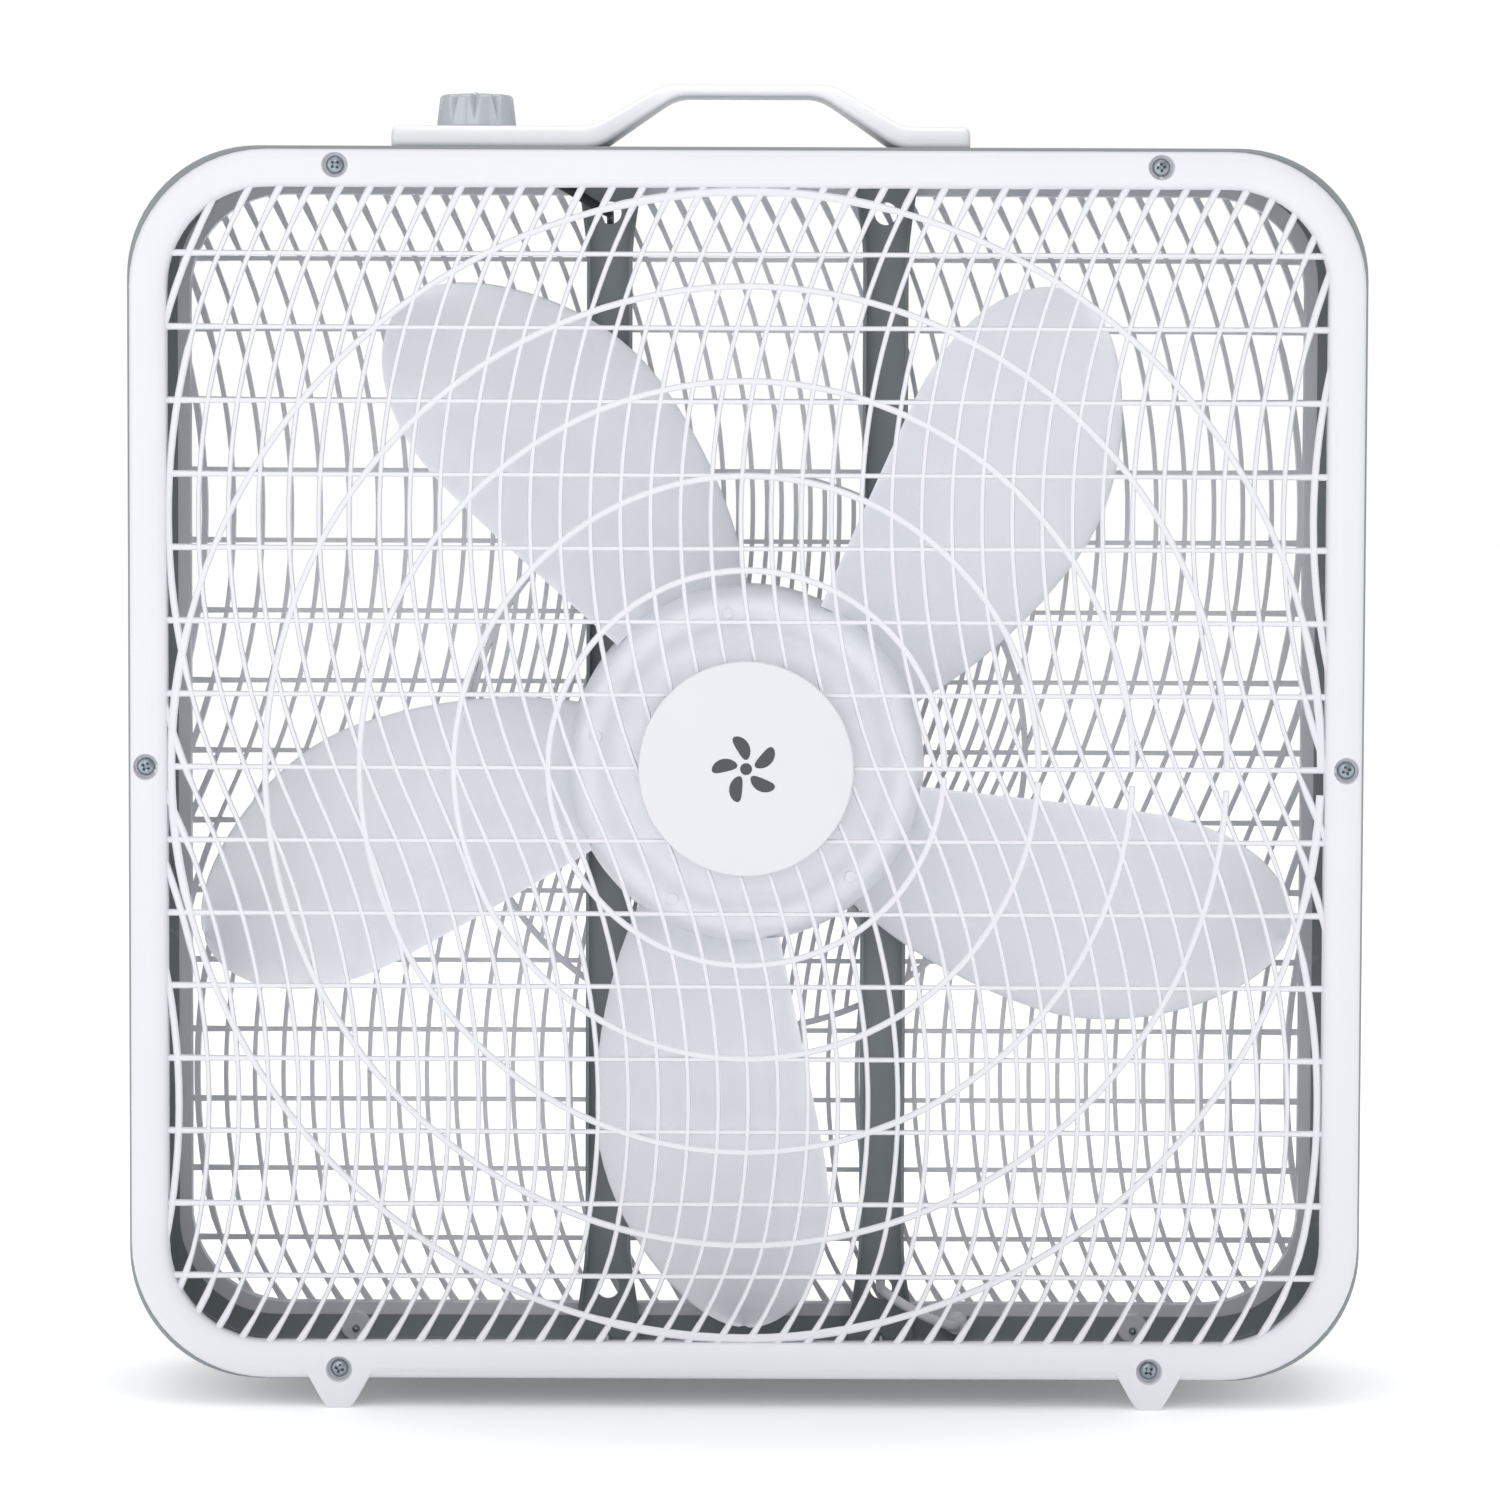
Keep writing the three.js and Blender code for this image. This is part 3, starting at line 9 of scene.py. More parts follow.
import logging
import math
from dataclasses import dataclass
from enum import Enum
from typing import Callable, Iterable, Sequence

import bmesh
import bpy
from mathutils import Matrix, Vector

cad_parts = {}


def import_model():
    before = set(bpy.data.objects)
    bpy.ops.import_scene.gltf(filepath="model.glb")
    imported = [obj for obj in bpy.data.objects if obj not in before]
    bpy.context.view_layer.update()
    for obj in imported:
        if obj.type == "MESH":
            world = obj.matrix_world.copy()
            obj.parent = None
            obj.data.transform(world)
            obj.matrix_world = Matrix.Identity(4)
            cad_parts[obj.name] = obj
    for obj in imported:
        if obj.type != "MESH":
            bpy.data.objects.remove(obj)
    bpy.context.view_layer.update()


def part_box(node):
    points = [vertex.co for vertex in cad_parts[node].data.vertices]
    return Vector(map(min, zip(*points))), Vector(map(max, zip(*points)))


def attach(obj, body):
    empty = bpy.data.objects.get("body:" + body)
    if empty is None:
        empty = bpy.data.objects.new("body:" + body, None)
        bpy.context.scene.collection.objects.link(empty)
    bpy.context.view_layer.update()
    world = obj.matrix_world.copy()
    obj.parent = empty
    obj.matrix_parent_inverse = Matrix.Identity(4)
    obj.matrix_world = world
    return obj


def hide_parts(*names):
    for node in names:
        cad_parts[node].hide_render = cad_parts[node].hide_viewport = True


LOG = logging.getLogger("box_fan")
MM = 0.001
CORD_HOLE = 4.9 * MM  # radius of the cord's way through the case and the rear rim

Colour = tuple[float, float, float]
Point2 = tuple[float, float]


# ---- Shader expressions and finishes ---------------------------------------------------


def srgb(red: int, green: int, blue: int) -> Colour:
    """Turns screen levels into a linear colour.

    Args:
        red: Level from 0 to 255.
        green: Level from 0 to 255.
        blue: Level from 0 to 255.

    Returns:
        The three parts, each from 0 to 1.
    """

    def linear(level: int) -> float:
        """One level, made linear by the screen standard's curve."""
        share = level / 255
        return share / 12.92 if share <= 0.04045 else ((share + 0.055) / 1.055) ** 2.4

    return linear(red), linear(green), linear(blue)


class Flow:
    """A socket's output inside a material, with arithmetic that adds Math nodes."""

    def __init__(self, nodes: "Nodes", socket: bpy.types.NodeSocket) -> None:
        """Keeps the socket and the nodes it belongs to."""
        self.nodes = nodes
        self.socket = socket

    def _math(self, operation: str, first: object, second: object) -> "Flow":
        """Adds one Math node.

        Args:
            operation: The node's operation.
            first: A number or a flow.
            second: A number or a flow.

        Returns:
            The node's value.
        """
        return self.nodes.add("ShaderNodeMath", {"operation": operation}, {0: first, 1: second})

    def __add__(self, other: object) -> "Flow":
        """Adds."""
        return self._math("ADD", self, other)

    __radd__ = __add__

    def __sub__(self, other: object) -> "Flow":
        """Subtracts a value from this one."""
        return self._math("SUBTRACT", self, other)

    def __rsub__(self, other: object) -> "Flow":
        """Subtracts this one from a value."""
        return self._math("SUBTRACT", other, self)

    def __mul__(self, other: object) -> "Flow":
        """Multiplies."""
        return self._math("MULTIPLY", self, other)

    __rmul__ = __mul__

    def above(self, limit: float) -> "Flow":
        """One where this is over the limit, and zero elsewhere."""
        return self._math("GREATER_THAN", self, limit)


class Nodes:
    """A material's node tree, written one call for each node."""

    def __init__(self, name: str) -> None:
        """Makes the material with its shader and output.

        Args:
            name: The material's name.
        """
        self.material = bpy.data.materials.new(name)
        self.material.use_nodes = True
        self.tree = self.material.node_tree
        self.shader = self.tree.nodes["Principled BSDF"]

    def add(
        self,
        kind: str,
        settings: dict[str, object] | None = None,
        inputs: dict[int | str, object] | None = None,
        output: int | str = 0,
    ) -> Flow:
        """Adds a node, sets it up, and connects it.

        Args:
            kind: The node's type.
            settings: Properties, set before the sockets. "stops" fills a colour ramp.
            inputs: Sockets by name or number, each a plain value or a flow.
            output: The output socket to hand back.

        Returns:
            The chosen output.
        """
        node = self.tree.nodes.new(kind)
        for key, value in (settings or {}).items():
            if key == "stops":
                self._fill_ramp(node, value)
            else:
                setattr(node, key, value)
        for key, value in (inputs or {}).items():
            self.connect(value, node.inputs[key])
        return Flow(self, node.outputs[output])

    def _fill_ramp(self, node: bpy.types.Node, stops: Sequence[tuple[float, Colour]]) -> None:
        """Gives a colour ramp its stops.

        Args:
            node: The ramp.
            stops: Positions and colours, the first two replacing the ramp's own.
        """
        elements = node.color_ramp.elements
        for index, (position, colour) in enumerate(stops):
            element = elements[index] if index < 2 else elements.new(position)
            element.position = position
            element.color = (*colour, 1.0)

    def connect(self, value: object, socket: bpy.types.NodeSocket) -> None:
        """Links a flow to a socket, or sets the socket's own value.

        Args:
            value: A flow, a number, a vector or a colour.
            socket: The socket that takes it.
        """
        if isinstance(value, Flow):
            self.tree.links.new(value.socket, socket)
        elif isinstance(value, tuple) and len(value) == 3 and socket.type == "RGBA":
            socket.default_value = (*value, 1.0)
        else:
            socket.default_value = value

    def place(self, stretch: tuple[float, float, float] = (1, 1, 1)) -> Flow:
        """The surface's own coordinates in metres, stretched along the axes."""
        raw = self.add("ShaderNodeTexCoord", output="Object")
        return self.add("ShaderNodeMapping", None, {"Vector": raw, "Scale": stretch})

    def noise(self, place: Flow, scale: float, detail: float = 2.0) -> Flow:
        """Cloudy noise from 0 to 1, `scale` clouds to the metre."""
        sockets = {"Vector": place, "Scale": scale, "Detail": detail}
        return self.add("ShaderNodeTexNoise", None, sockets)

    def tint(self, mask: Flow, low: Colour, high: Colour) -> Flow:
        """Mixes two colours by a mask.

        Args:
            mask: From 0 to 1.
            low: The colour where the mask is 0.
            high: The colour where the mask is 1.

        Returns:
            The mixed colour.
        """
        return self.add(
            "ShaderNodeMix",
            {"data_type": "RGBA"},
            {0: mask, 6: low, 7: high},
            output=2,
        )

    def bump(self, height: Flow, depth: float, strength: float = 1.0) -> None:
        """Raises the surface.

        Args:
            height: From 0 to 1.
            depth: How far a height of 1 stands out, in metres.
            strength: How much of it shows.
        """
        sockets = {"Height": height, "Distance": depth, "Strength": strength}
        normal = self.add("ShaderNodeBump", None, sockets)
        self.connect(normal, self.shader.inputs["Normal"])

    def fix(self, **values: float) -> None:
        """Sets the shader's own sockets; an underscore in a name stands for a space."""
        for key, value in values.items():
            self.shader.inputs[key.replace("_", " ")].default_value = value


@dataclass(frozen=True)
class Moulding:
    """A moulded plastic: its colour, its gloss, and the faint flow marks in its skin."""

    name: str
    colour: Colour
    shade: Colour
    roughness: float
    grain: float = 0.00004
    coat: float = 0.0
    clouds: float = 22.0
    flow_marks: float = 90.0
    eggshell: float = 2600.0
    refraction: float = 1.49

    def material(self) -> bpy.types.Material:
        """Builds the material.

        Returns:
            A plastic whose tone drifts slowly and whose skin has a fine eggshell grain.
        """
        nodes = Nodes(self.name)
        place = nodes.place()
        drift = nodes.noise(place, self.clouds, 3.0)
        flow = nodes.noise(nodes.place((1.0, 1.0, 0.25)), self.flow_marks, 2.0)
        grain = nodes.noise(place, self.eggshell, 1.0)
        colour = nodes.tint(drift * 0.7 + flow * 0.3, self.shade, self.colour)
        nodes.connect(colour, nodes.shader.inputs["Base Color"])
        rough = self.roughness - 0.05 + drift * 0.06 + grain * 0.04
        nodes.connect(rough, nodes.shader.inputs["Roughness"])
        nodes.bump(grain * 0.5 + flow * 0.5, self.grain)
        nodes.fix(IOR=self.refraction, Coat_Weight=self.coat, Coat_Roughness=0.12)
        return nodes.material


@dataclass(frozen=True)
class Paint:
    """Stoved paint on sheet steel, with orange peel and small scuffs."""

    name: str
    colour: Colour
    scuffed: Colour
    roughness: float
    clouds: float = 14.0
    orange_peel: float = 700.0
    peel_depth: float = 0.00006
    scratches: float = 120.0
    scuff_limit: float = 0.41

    def material(self) -> bpy.types.Material:
        """Builds the material.

        Returns:
            A painted metal whose few scuffs are lighter and rougher than the paint.
        """
        nodes = Nodes(self.name)
        place = nodes.place()
        cloud = nodes.noise(place, self.clouds, 4.0)
        peel = nodes.noise(place, self.orange_peel, 1.0)
        scratches = nodes.noise(nodes.place((1.0, 9.0, 1.0)), self.scratches, 5.0)
        scuffs = (scratches * cloud).above(self.scuff_limit)
        colour = nodes.tint(cloud * 0.25 + scuffs * 0.5, self.colour, self.scuffed)
        nodes.connect(colour, nodes.shader.inputs["Base Color"])
        rough = self.roughness - 0.05 + peel * 0.1 + scuffs * 0.15
        nodes.connect(rough, nodes.shader.inputs["Roughness"])
        nodes.bump(peel, self.peel_depth)
        nodes.fix(Metallic=0.0, IOR=1.5)
        return nodes.material


class Lay(Enum):
    """The way a metal's fine marks run."""

    TURNED = (1.0, 30.0, 1.0)
    DRAWN = (30.0, 30.0, 1.0)
    CAST = (1.0, 1.0, 1.0)
    STACKED = (0.2, 60.0, 0.2)


@dataclass(frozen=True)
class Metal:
    """A bare metal and the run of the marks on it."""

    name: str
    colour: Colour
    dulled: Colour
    roughness: float
    lay: Lay
    grain: float = 0.00003
    marks: float = 260.0
    patches: float = 60.0

    def material(self) -> bpy.types.Material:
        """Builds the material.

        Returns:
            A metal that is duller in patches and marked along its lay.
        """
        nodes = Nodes(self.name)
        marks = nodes.noise(nodes.place(self.lay.value), self.marks, 3.0)
        patches = nodes.noise(nodes.place(), self.patches, 3.0)
        colour = nodes.tint(patches * 0.7 + marks * 0.3, self.dulled, self.colour)
        nodes.connect(colour, nodes.shader.inputs["Base Color"])
        rough = self.roughness - 0.08 + patches * 0.1 + marks * 0.08
        nodes.connect(rough, nodes.shader.inputs["Roughness"])
        nodes.bump(marks, self.grain)
        nodes.fix(Metallic=1.0)
        return nodes.material


@dataclass(frozen=True)
class Winding:
    """Enamelled wire, wound side by side."""

    name: str
    colour: Colour
    shadow: Colour
    strands: float = 420.0
    ridge: float = 0.0003

    def material(self) -> bpy.types.Material:
        """Builds the material.

        Returns:
            A glossy copper whose strands show as fine ridges.
        """
        nodes = Nodes(self.name)
        settings = {"wave_type": "BANDS", "bands_direction": "DIAGONAL"}
        sockets = {
            "Vector": nodes.place(),
            "Scale": self.strands,
            "Distortion": 1.5,
            "Detail": 1.0,
        }
        strands = nodes.add("ShaderNodeTexWave", settings, sockets, output="Fac")
        colour = nodes.tint(strands, self.shadow, self.colour)
        nodes.connect(colour, nodes.shader.inputs["Base Color"])
        nodes.connect(0.45 - strands * 0.15, nodes.shader.inputs["Roughness"])
        nodes.bump(strands, self.ridge)
        nodes.fix(Metallic=0.9)
        return nodes.material


class Palette:
    """Every finish of the fan, made once."""

    def __init__(self) -> None:
        """Builds the materials."""
        white = Moulding("white moulding", srgb(215, 216, 221), srgb(210, 211, 217), 0.36)
        # Painted light: a lighter copy of the grilles' white plastic, so the handle, which the lights
        # reach less, looks as bright as the rim.
        shell = Moulding("handle white with painted light", srgb(237, 238, 242), srgb(232, 233, 238), 0.36)
        # Painted shade: a darker copy of the same white plastic, so the badge looks less brightly lit
        # from the front.
        badge = Moulding("badge white with painted shade", srgb(211, 212, 216), srgb(207, 208, 213), 0.45)
        # Painted light: the blades are whiter than the rim, standing in for light that shines through
        # them from behind.
        blade = Moulding("blade moulding with painted light", srgb(246, 248, 251), srgb(240, 243, 249), 0.28)
        knob = Moulding("knob moulding", srgb(176, 181, 189), srgb(168, 173, 182), 0.16, coat=0.6)
        black = Moulding("black moulding", srgb(44, 46, 49), srgb(36, 38, 41), 0.5)
        vinyl = Moulding("cord vinyl", srgb(226, 227, 230), srgb(216, 217, 221), 0.5, 0.00008)
        glyph = Moulding("badge print", srgb(70, 74, 78), srgb(60, 64, 68), 0.55)
        case = Paint("case paint", srgb(126, 133, 137), srgb(150, 155, 158), 0.38)
        zinc = Metal("zinc plate", srgb(172, 180, 186), srgb(112, 121, 128), 0.3, Lay.TURNED)
        steel = Metal("ground steel", srgb(206, 208, 211), srgb(170, 172, 176), 0.28, Lay.TURNED)
        core = Metal("core plates", srgb(120, 124, 128), srgb(76, 80, 84), 0.45, Lay.STACKED, 0.0004)
        cast = Metal("die casting", srgb(176, 179, 182), srgb(140, 143, 147), 0.5, Lay.CAST, 0.00012)
        bronze = Metal("sintered bronze", srgb(176, 134, 78), srgb(128, 96, 58), 0.5, Lay.CAST)
        brass = Metal("contact brass", srgb(214, 182, 110), srgb(186, 152, 88), 0.26, Lay.DRAWN)
        self.white = white.material()
        self.shell = shell.material()
        self.badge = badge.material()
        self.blade = blade.material()
        self.knob = knob.material()
        self.black = black.material()
        self.vinyl = vinyl.material()
        self.glyph = glyph.material()
        self.case = case.material()
        self.zinc = zinc.material()
        self.steel = steel.material()
        self.core = core.material()
        self.cast = cast.material()
        self.bronze = bronze.material()
        self.brass = brass.material()
        self.copper = Winding("enamelled copper", srgb(196, 112, 62), srgb(96, 48, 28)).material()


# ---- Meshes ------------------------------------------------------------------------------


@dataclass(frozen=True)
class Extent:
    """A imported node's lowest and highest corners."""

    low: Vector
    high: Vector

    @classmethod
    def of(cls, node: str) -> "Extent":
        """Reads a node's box from the frame."""
        low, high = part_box(node)
        return cls(low, high)

    @property
    def middle(self) -> Vector:
        """The box's middle."""
        return (self.low + self.high) / 2

    @property
    def size(self) -> Vector:
        """The box's sides."""
        return self.high - self.low


class Skin:
    """Points and faces that grow into one mesh."""

    def __init__(self) -> None:
        """Starts empty."""
        self.points: list[Vector] = []
        self.faces: list[tuple[int, ...]] = []

    def row(self, points: Iterable[Vector]) -> list[int]:
        """Adds points.

        Args:
            points: The points.

        Returns:
            Their numbers.
        """
        start = len(self.points)
        self.points.extend(Vector(point) for point in points)
        return list(range(start, len(self.points)))

    def loft(self, loops: Sequence[Sequence[Vector]], ring: bool = False) -> "Skin":
        """Joins closed loops of equal length into a closed shell.

        Args:
            loops: The loops, in order.
            ring: True if the last loop joins the first, so that nothing is capped.

        Returns:
            This skin.
        """
        rows = [self.row(loop) for loop in loops]
        count = len(rows[0])
        following = rows[1:] + rows[:1] if ring else rows[1:]
        for one, other in zip(rows, following):
            for index in range(count):
                after = (index + 1) % count
                self.faces.append((one[index], one[after], other[after], other[index]))
        if not ring:
            self.faces.append(tuple(rows[0]))
            self.faces.append(tuple(rows[-1]))
        return self

    def turned(
        self,
        profile: Sequence[Point2],
        place: Callable[[float, float, float], Vector],
        sides: int = 64,
        ring: bool = False,
    ) -> "Skin":
        """Turns a profile about an axis.

        Args:
            profile: Radius and height pairs. A radius of 0 closes an end at a point.
            place: Gives the point of an angle, a radius and a height.
            sides: The number of facets round the axis.
            ring: True for a profile that closes on itself.

        Returns:
            This skin.
        """
        loops = [
            [place(2 * math.pi * side / sides, max(radius, 1e-6), height) for side in range(sides)]
            for radius, height in profile
        ]
        return self.loft(loops, ring)

    def mesh(self, name: str, crease: float = 38.0) -> bpy.types.Mesh:
        """Builds the mesh, with faces outwards and smooth up to a crease angle.

        Args:
            name: The mesh's name.
            crease: The sharpest angle that is still smooth, in degrees.

        Returns:
            The mesh.
        """
        mesh = bpy.data.meshes.new(name)
        mesh.from_pydata(self.points, [], self.faces)
        tidy = bmesh.new()
        tidy.from_mesh(mesh)
        bmesh.ops.remove_doubles(tidy, verts=tidy.verts, dist=2e-6)
        bmesh.ops.recalc_face_normals(tidy, faces=tidy.faces)
        tidy.to_mesh(mesh)
        tidy.free()
        mesh.polygons.foreach_set("use_smooth", [True] * len(mesh.polygons))
        mesh.set_sharp_from_angle(angle=math.radians(crease))
        return mesh

    def object(self, name: str, crease: float = 38.0) -> bpy.types.Object:
        """Builds an object of the mesh and puts it in the scene.

        Args:
            name: The object's name.
            crease: The sharpest angle that is still smooth, in degrees.

        Returns:
            The object.
        """
        made = bpy.data.objects.new(name, self.mesh(name, crease))
        bpy.context.scene.collection.objects.link(made)
        return made


def about_y(middle: Vector) -> Callable[[float, float, float], Vector]:
    """Places turned points about an axis along Y.

    Args:
        middle: A point of the axis.

    Returns:
        A function of an angle, a radius and a height, which is the point's own Y.
    """
    return lambda turn, radius, height: Vector(
        (middle.x + radius * math.cos(turn), height, middle.z + radius * math.sin(turn))
    )


def about_z(middle: Vector) -> Callable[[float, float, float], Vector]:
    """Places turned points about an axis along Z.

    Args:
        middle: A point of the axis.

    Returns:
        A function of an angle, a radius and a height, which is the point's own Z.
    """
    return lambda turn, radius, height: Vector(
        (middle.x + radius * math.cos(turn), middle.y + radius * math.sin(turn), height)
    )


def rounded_square(half_x: float, half_z: float, corner: float, steps: int = 14) -> list[Point2]:
    """A rectangle with round corners about the origin.

    Args:
        half_x: Half of its width.
        half_z: Half of its height.
        corner: The corners' radius.
        steps: Points in each corner.

    Returns:
        Its points, anticlockwise from the right.
    """
    points = []
    for quarter in range(4):
        across = (half_x - corner) * (1 if quarter in (0, 3) else -1)
        up = (half_z - corner) * (1 if quarter in (0, 1) else -1)
        for step in range(steps + 1):
            turn = (quarter + step / steps) * math.pi / 2
            points.append((across + corner * math.cos(turn), up + corner * math.sin(turn)))
    return points


def cut(target: bpy.types.Object, cutters: Sequence[bpy.types.Object]) -> None:
    """Cuts pieces out of an object, and removes the cutters.

    Args:
        target: The object that is cut.
        cutters: Closed objects, each taken away from it.
    """
    bpy.context.view_layer.update()
    for cutter in cutters:
        modifier = target.modifiers.new("cut", "BOOLEAN")
        modifier.operation = "DIFFERENCE"
        modifier.solver = "EXACT"
        modifier.use_self = True
        modifier.object = cutter
    graph = bpy.context.evaluated_depsgraph_get()
    shaped = bpy.data.meshes.new_from_object(target.evaluated_get(graph))
    target.modifiers.clear()
    target.data = shaped
    shaped.polygons.foreach_set("use_smooth", [True] * len(shaped.polygons))
    shaped.set_sharp_from_angle(angle=math.radians(38.0))
    for cutter in cutters:
        bpy.data.objects.remove(cutter)


def drill(
    place: Callable[[float, float, float], Vector], radius: float, low: float, high: float
) -> bpy.types.Object:
    """Makes a round cutter.

    Args:
        place: Places its points about the hole's axis.
        radius: The hole's radius.
        low: Where it starts, along the axis.
        high: Where it ends.

    Returns:
        The cutter.
    """
    profile = ((0.0, low), (radius, low), (radius, high), (0.0, high))
    return Skin().turned(profile, place, 32).object("hole")


def dress(piece: bpy.types.Object, material: bpy.types.Material) -> None:
    """Gives an object one material."""
    piece.data.materials.clear()
    piece.data.materials.append(material)


def settle(
    piece: bpy.types.Object,
    material: bpy.types.Material,
    slot: str,
    body: "Body",
    *nodes: str,
) -> bpy.types.Object:
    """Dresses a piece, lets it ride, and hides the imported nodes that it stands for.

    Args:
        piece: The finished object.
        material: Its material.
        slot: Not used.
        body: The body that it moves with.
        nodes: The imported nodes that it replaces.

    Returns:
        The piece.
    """
    dress(piece, material)
    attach(piece, body.value)
    if nodes:
        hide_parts(*nodes)
    LOG.info("%s: %d faces, rides on %s", piece.name, len(piece.data.polygons), body.value)
    return piece


class Body(Enum):
    """The bodies that pieces ride on."""

    HOUSING = "housing"
    ROTOR = "rotor"
    KNOB = "knob"


# ---- Studio ------------------------------------------------------------------------------


@dataclass(frozen=True)
class Studio:
    """A white room: floor, soft lights and the camera.

    The camera's shift is a share of the frame's width. The floor glows of itself, weakest near the fan
    and growing with the distance, a painted shadow round the fan's feet; and a lamp is its name, its
    place from the object's middle, its side and its watts.
    """

    distance: float = 2.266
    eye_height: float = 0.4397
    tilt: float = 3.2
    roll: float = 0.2
    lens: float = 127.58
    sensor: float = 36.0
    shift: float = -0.046
    aside: float = 0.0011
    floor_size: float = 24.0
    floor_drop: float = 0.2 * MM
    floor_tone: Colour = (0.84, 0.845, 0.85)
    ambient: float = 0.49
    # Painted shadow: the floor glows little near the fan and more further out, which paints the fan's
    # shadow on the floor.
    painted_shadow_glow: float = 0.15
    glow_far: float = 0.62
    painted_shadow_from: float = 0.12
    painted_shadow_to: float = 0.42
    painted_shadow_shape: tuple[float, float, float] = (1.0, 1.3, 1.0)
    lamps: tuple[tuple[str, tuple[float, float, float], float, float], ...] = (
        ("top light", (0.0, -0.5, 2.2), 2.4, 24.0),
        ("left light", (-2.0, -1.4, 0.7), 1.6, 13.0),
        ("right light", (2.1, -1.2, 0.5), 1.6, 9.0),
        ("front light", (-0.5, -2.9, 1.1), 1.8, 16.0),
    )

    def camera(self, front: float) -> None:
        """Makes the camera.

        Args:
            front: Y of the plane that the distance is measured from.
        """
        data = bpy.data.cameras.new("camera")
        data.sensor_width = self.sensor
        data.lens = self.lens
        data.shift_y = self.shift
        data.clip_end = 100.0
        camera = bpy.data.objects.new("camera", data)
        bpy.context.scene.collection.objects.link(camera)
        camera.location = (self.aside, front - self.distance, self.eye_height)
        camera.rotation_euler = (math.radians(90 - self.tilt), math.radians(-self.roll), 0)
        bpy.context.scene.camera = camera

    def floor(self) -> None:
        """Lays the floor, pale and glowing of itself, with a painted shadow where the glow is weak near
        the fan.
        """
        half = self.floor_size / 2
        corners = [(-half, -half), (half, -half), (half, half), (-half, half)]
        skin = Skin()
        skin.faces.append(tuple(skin.row(Vector((x, y, -self.floor_drop)) for x, y in corners)))
        floor = skin.object("floor")
        nodes = Nodes("floor white")
        nodes.fix(Roughness=0.6, Emission_Strength=1.0)
        nodes.connect(self.floor_tone, nodes.shader.inputs["Base Color"])
        # Painted shadow: the glow grows smoothly from near the fan to far out, so the floor round the
        # fan is darker.
        place = nodes.place(self.painted_shadow_shape)
        reach = nodes.add("ShaderNodeVectorMath", {"operation": "LENGTH"}, {0: place}, 1)
        sockets = {
            0: reach,
            1: self.painted_shadow_from,
            2: self.painted_shadow_to,
            3: self.painted_shadow_glow,
            4: self.glow_far,
        }
        fade = nodes.add("ShaderNodeMapRange", {"interpolation_type": "SMOOTHSTEP"}, sockets)
        glow = nodes.tint(fade, (0.0, 0.0, 0.0), (1.0, 1.0, 1.0))
        nodes.connect(glow, nodes.shader.inputs["Emission Color"])
        dress(floor, nodes.material)

    def light(self, name: str, place: Vector, aim: Vector, size: float, power: float) -> None:
        """Hangs one soft square light.

        Args:
            name: Its name.
            place: Where it hangs.
            aim: The point that it faces.
            size: Its side.
            power: Its power in watts.
        """
        data = bpy.data.lights.new(name, "AREA")
        data.size = size
        data.energy = power
        lamp = bpy.data.objects.new(name, data)
        bpy.context.scene.collection.objects.link(lamp)
        lamp.location = place
        lamp.rotation_mode = "QUATERNION"
        lamp.rotation_quaternion = (aim - place).to_track_quat("-Z", "Y")

    def build(self, front: float, middle: Vector) -> None:
        """Sets up the whole studio.

        Args:
            front: Y of the object's front plane.
            middle: The object's middle.
        """
        self.camera(front)
        self.floor()
        for name, offset, size, power in self.lamps:
            self.light(name, middle + Vector(offset), middle, size, power)
        self.sky()

    def sky(self) -> None:
        """Surrounds the room with white: full to the camera, and softer as a light."""
        world = bpy.data.worlds.new("white room")
        world.use_nodes = True
        sky = world.node_tree.nodes["Background"]
        sky.inputs["Color"].default_value = (1, 1, 1, 1)
        seen = world.node_tree.nodes.new("ShaderNodeLightPath")
        level = world.node_tree.nodes.new("ShaderNodeMath")
        level.operation = "MULTIPLY_ADD"
        level.inputs[1].default_value = 1.0 - self.ambient
        level.inputs[2].default_value = self.ambient
        world.node_tree.links.new(seen.outputs["Is Camera Ray"], level.inputs[0])
        world.node_tree.links.new(level.outputs[0], sky.inputs["Strength"])
        bpy.context.scene.world = world
        bpy.context.scene.view_settings.view_transform = "Standard"


# ---- Grilles -----------------------------------------------------------------------------


class Side(Enum):
    """A grille's place: which way its face looks along Y."""

    FRONT = -1
    REAR = 1


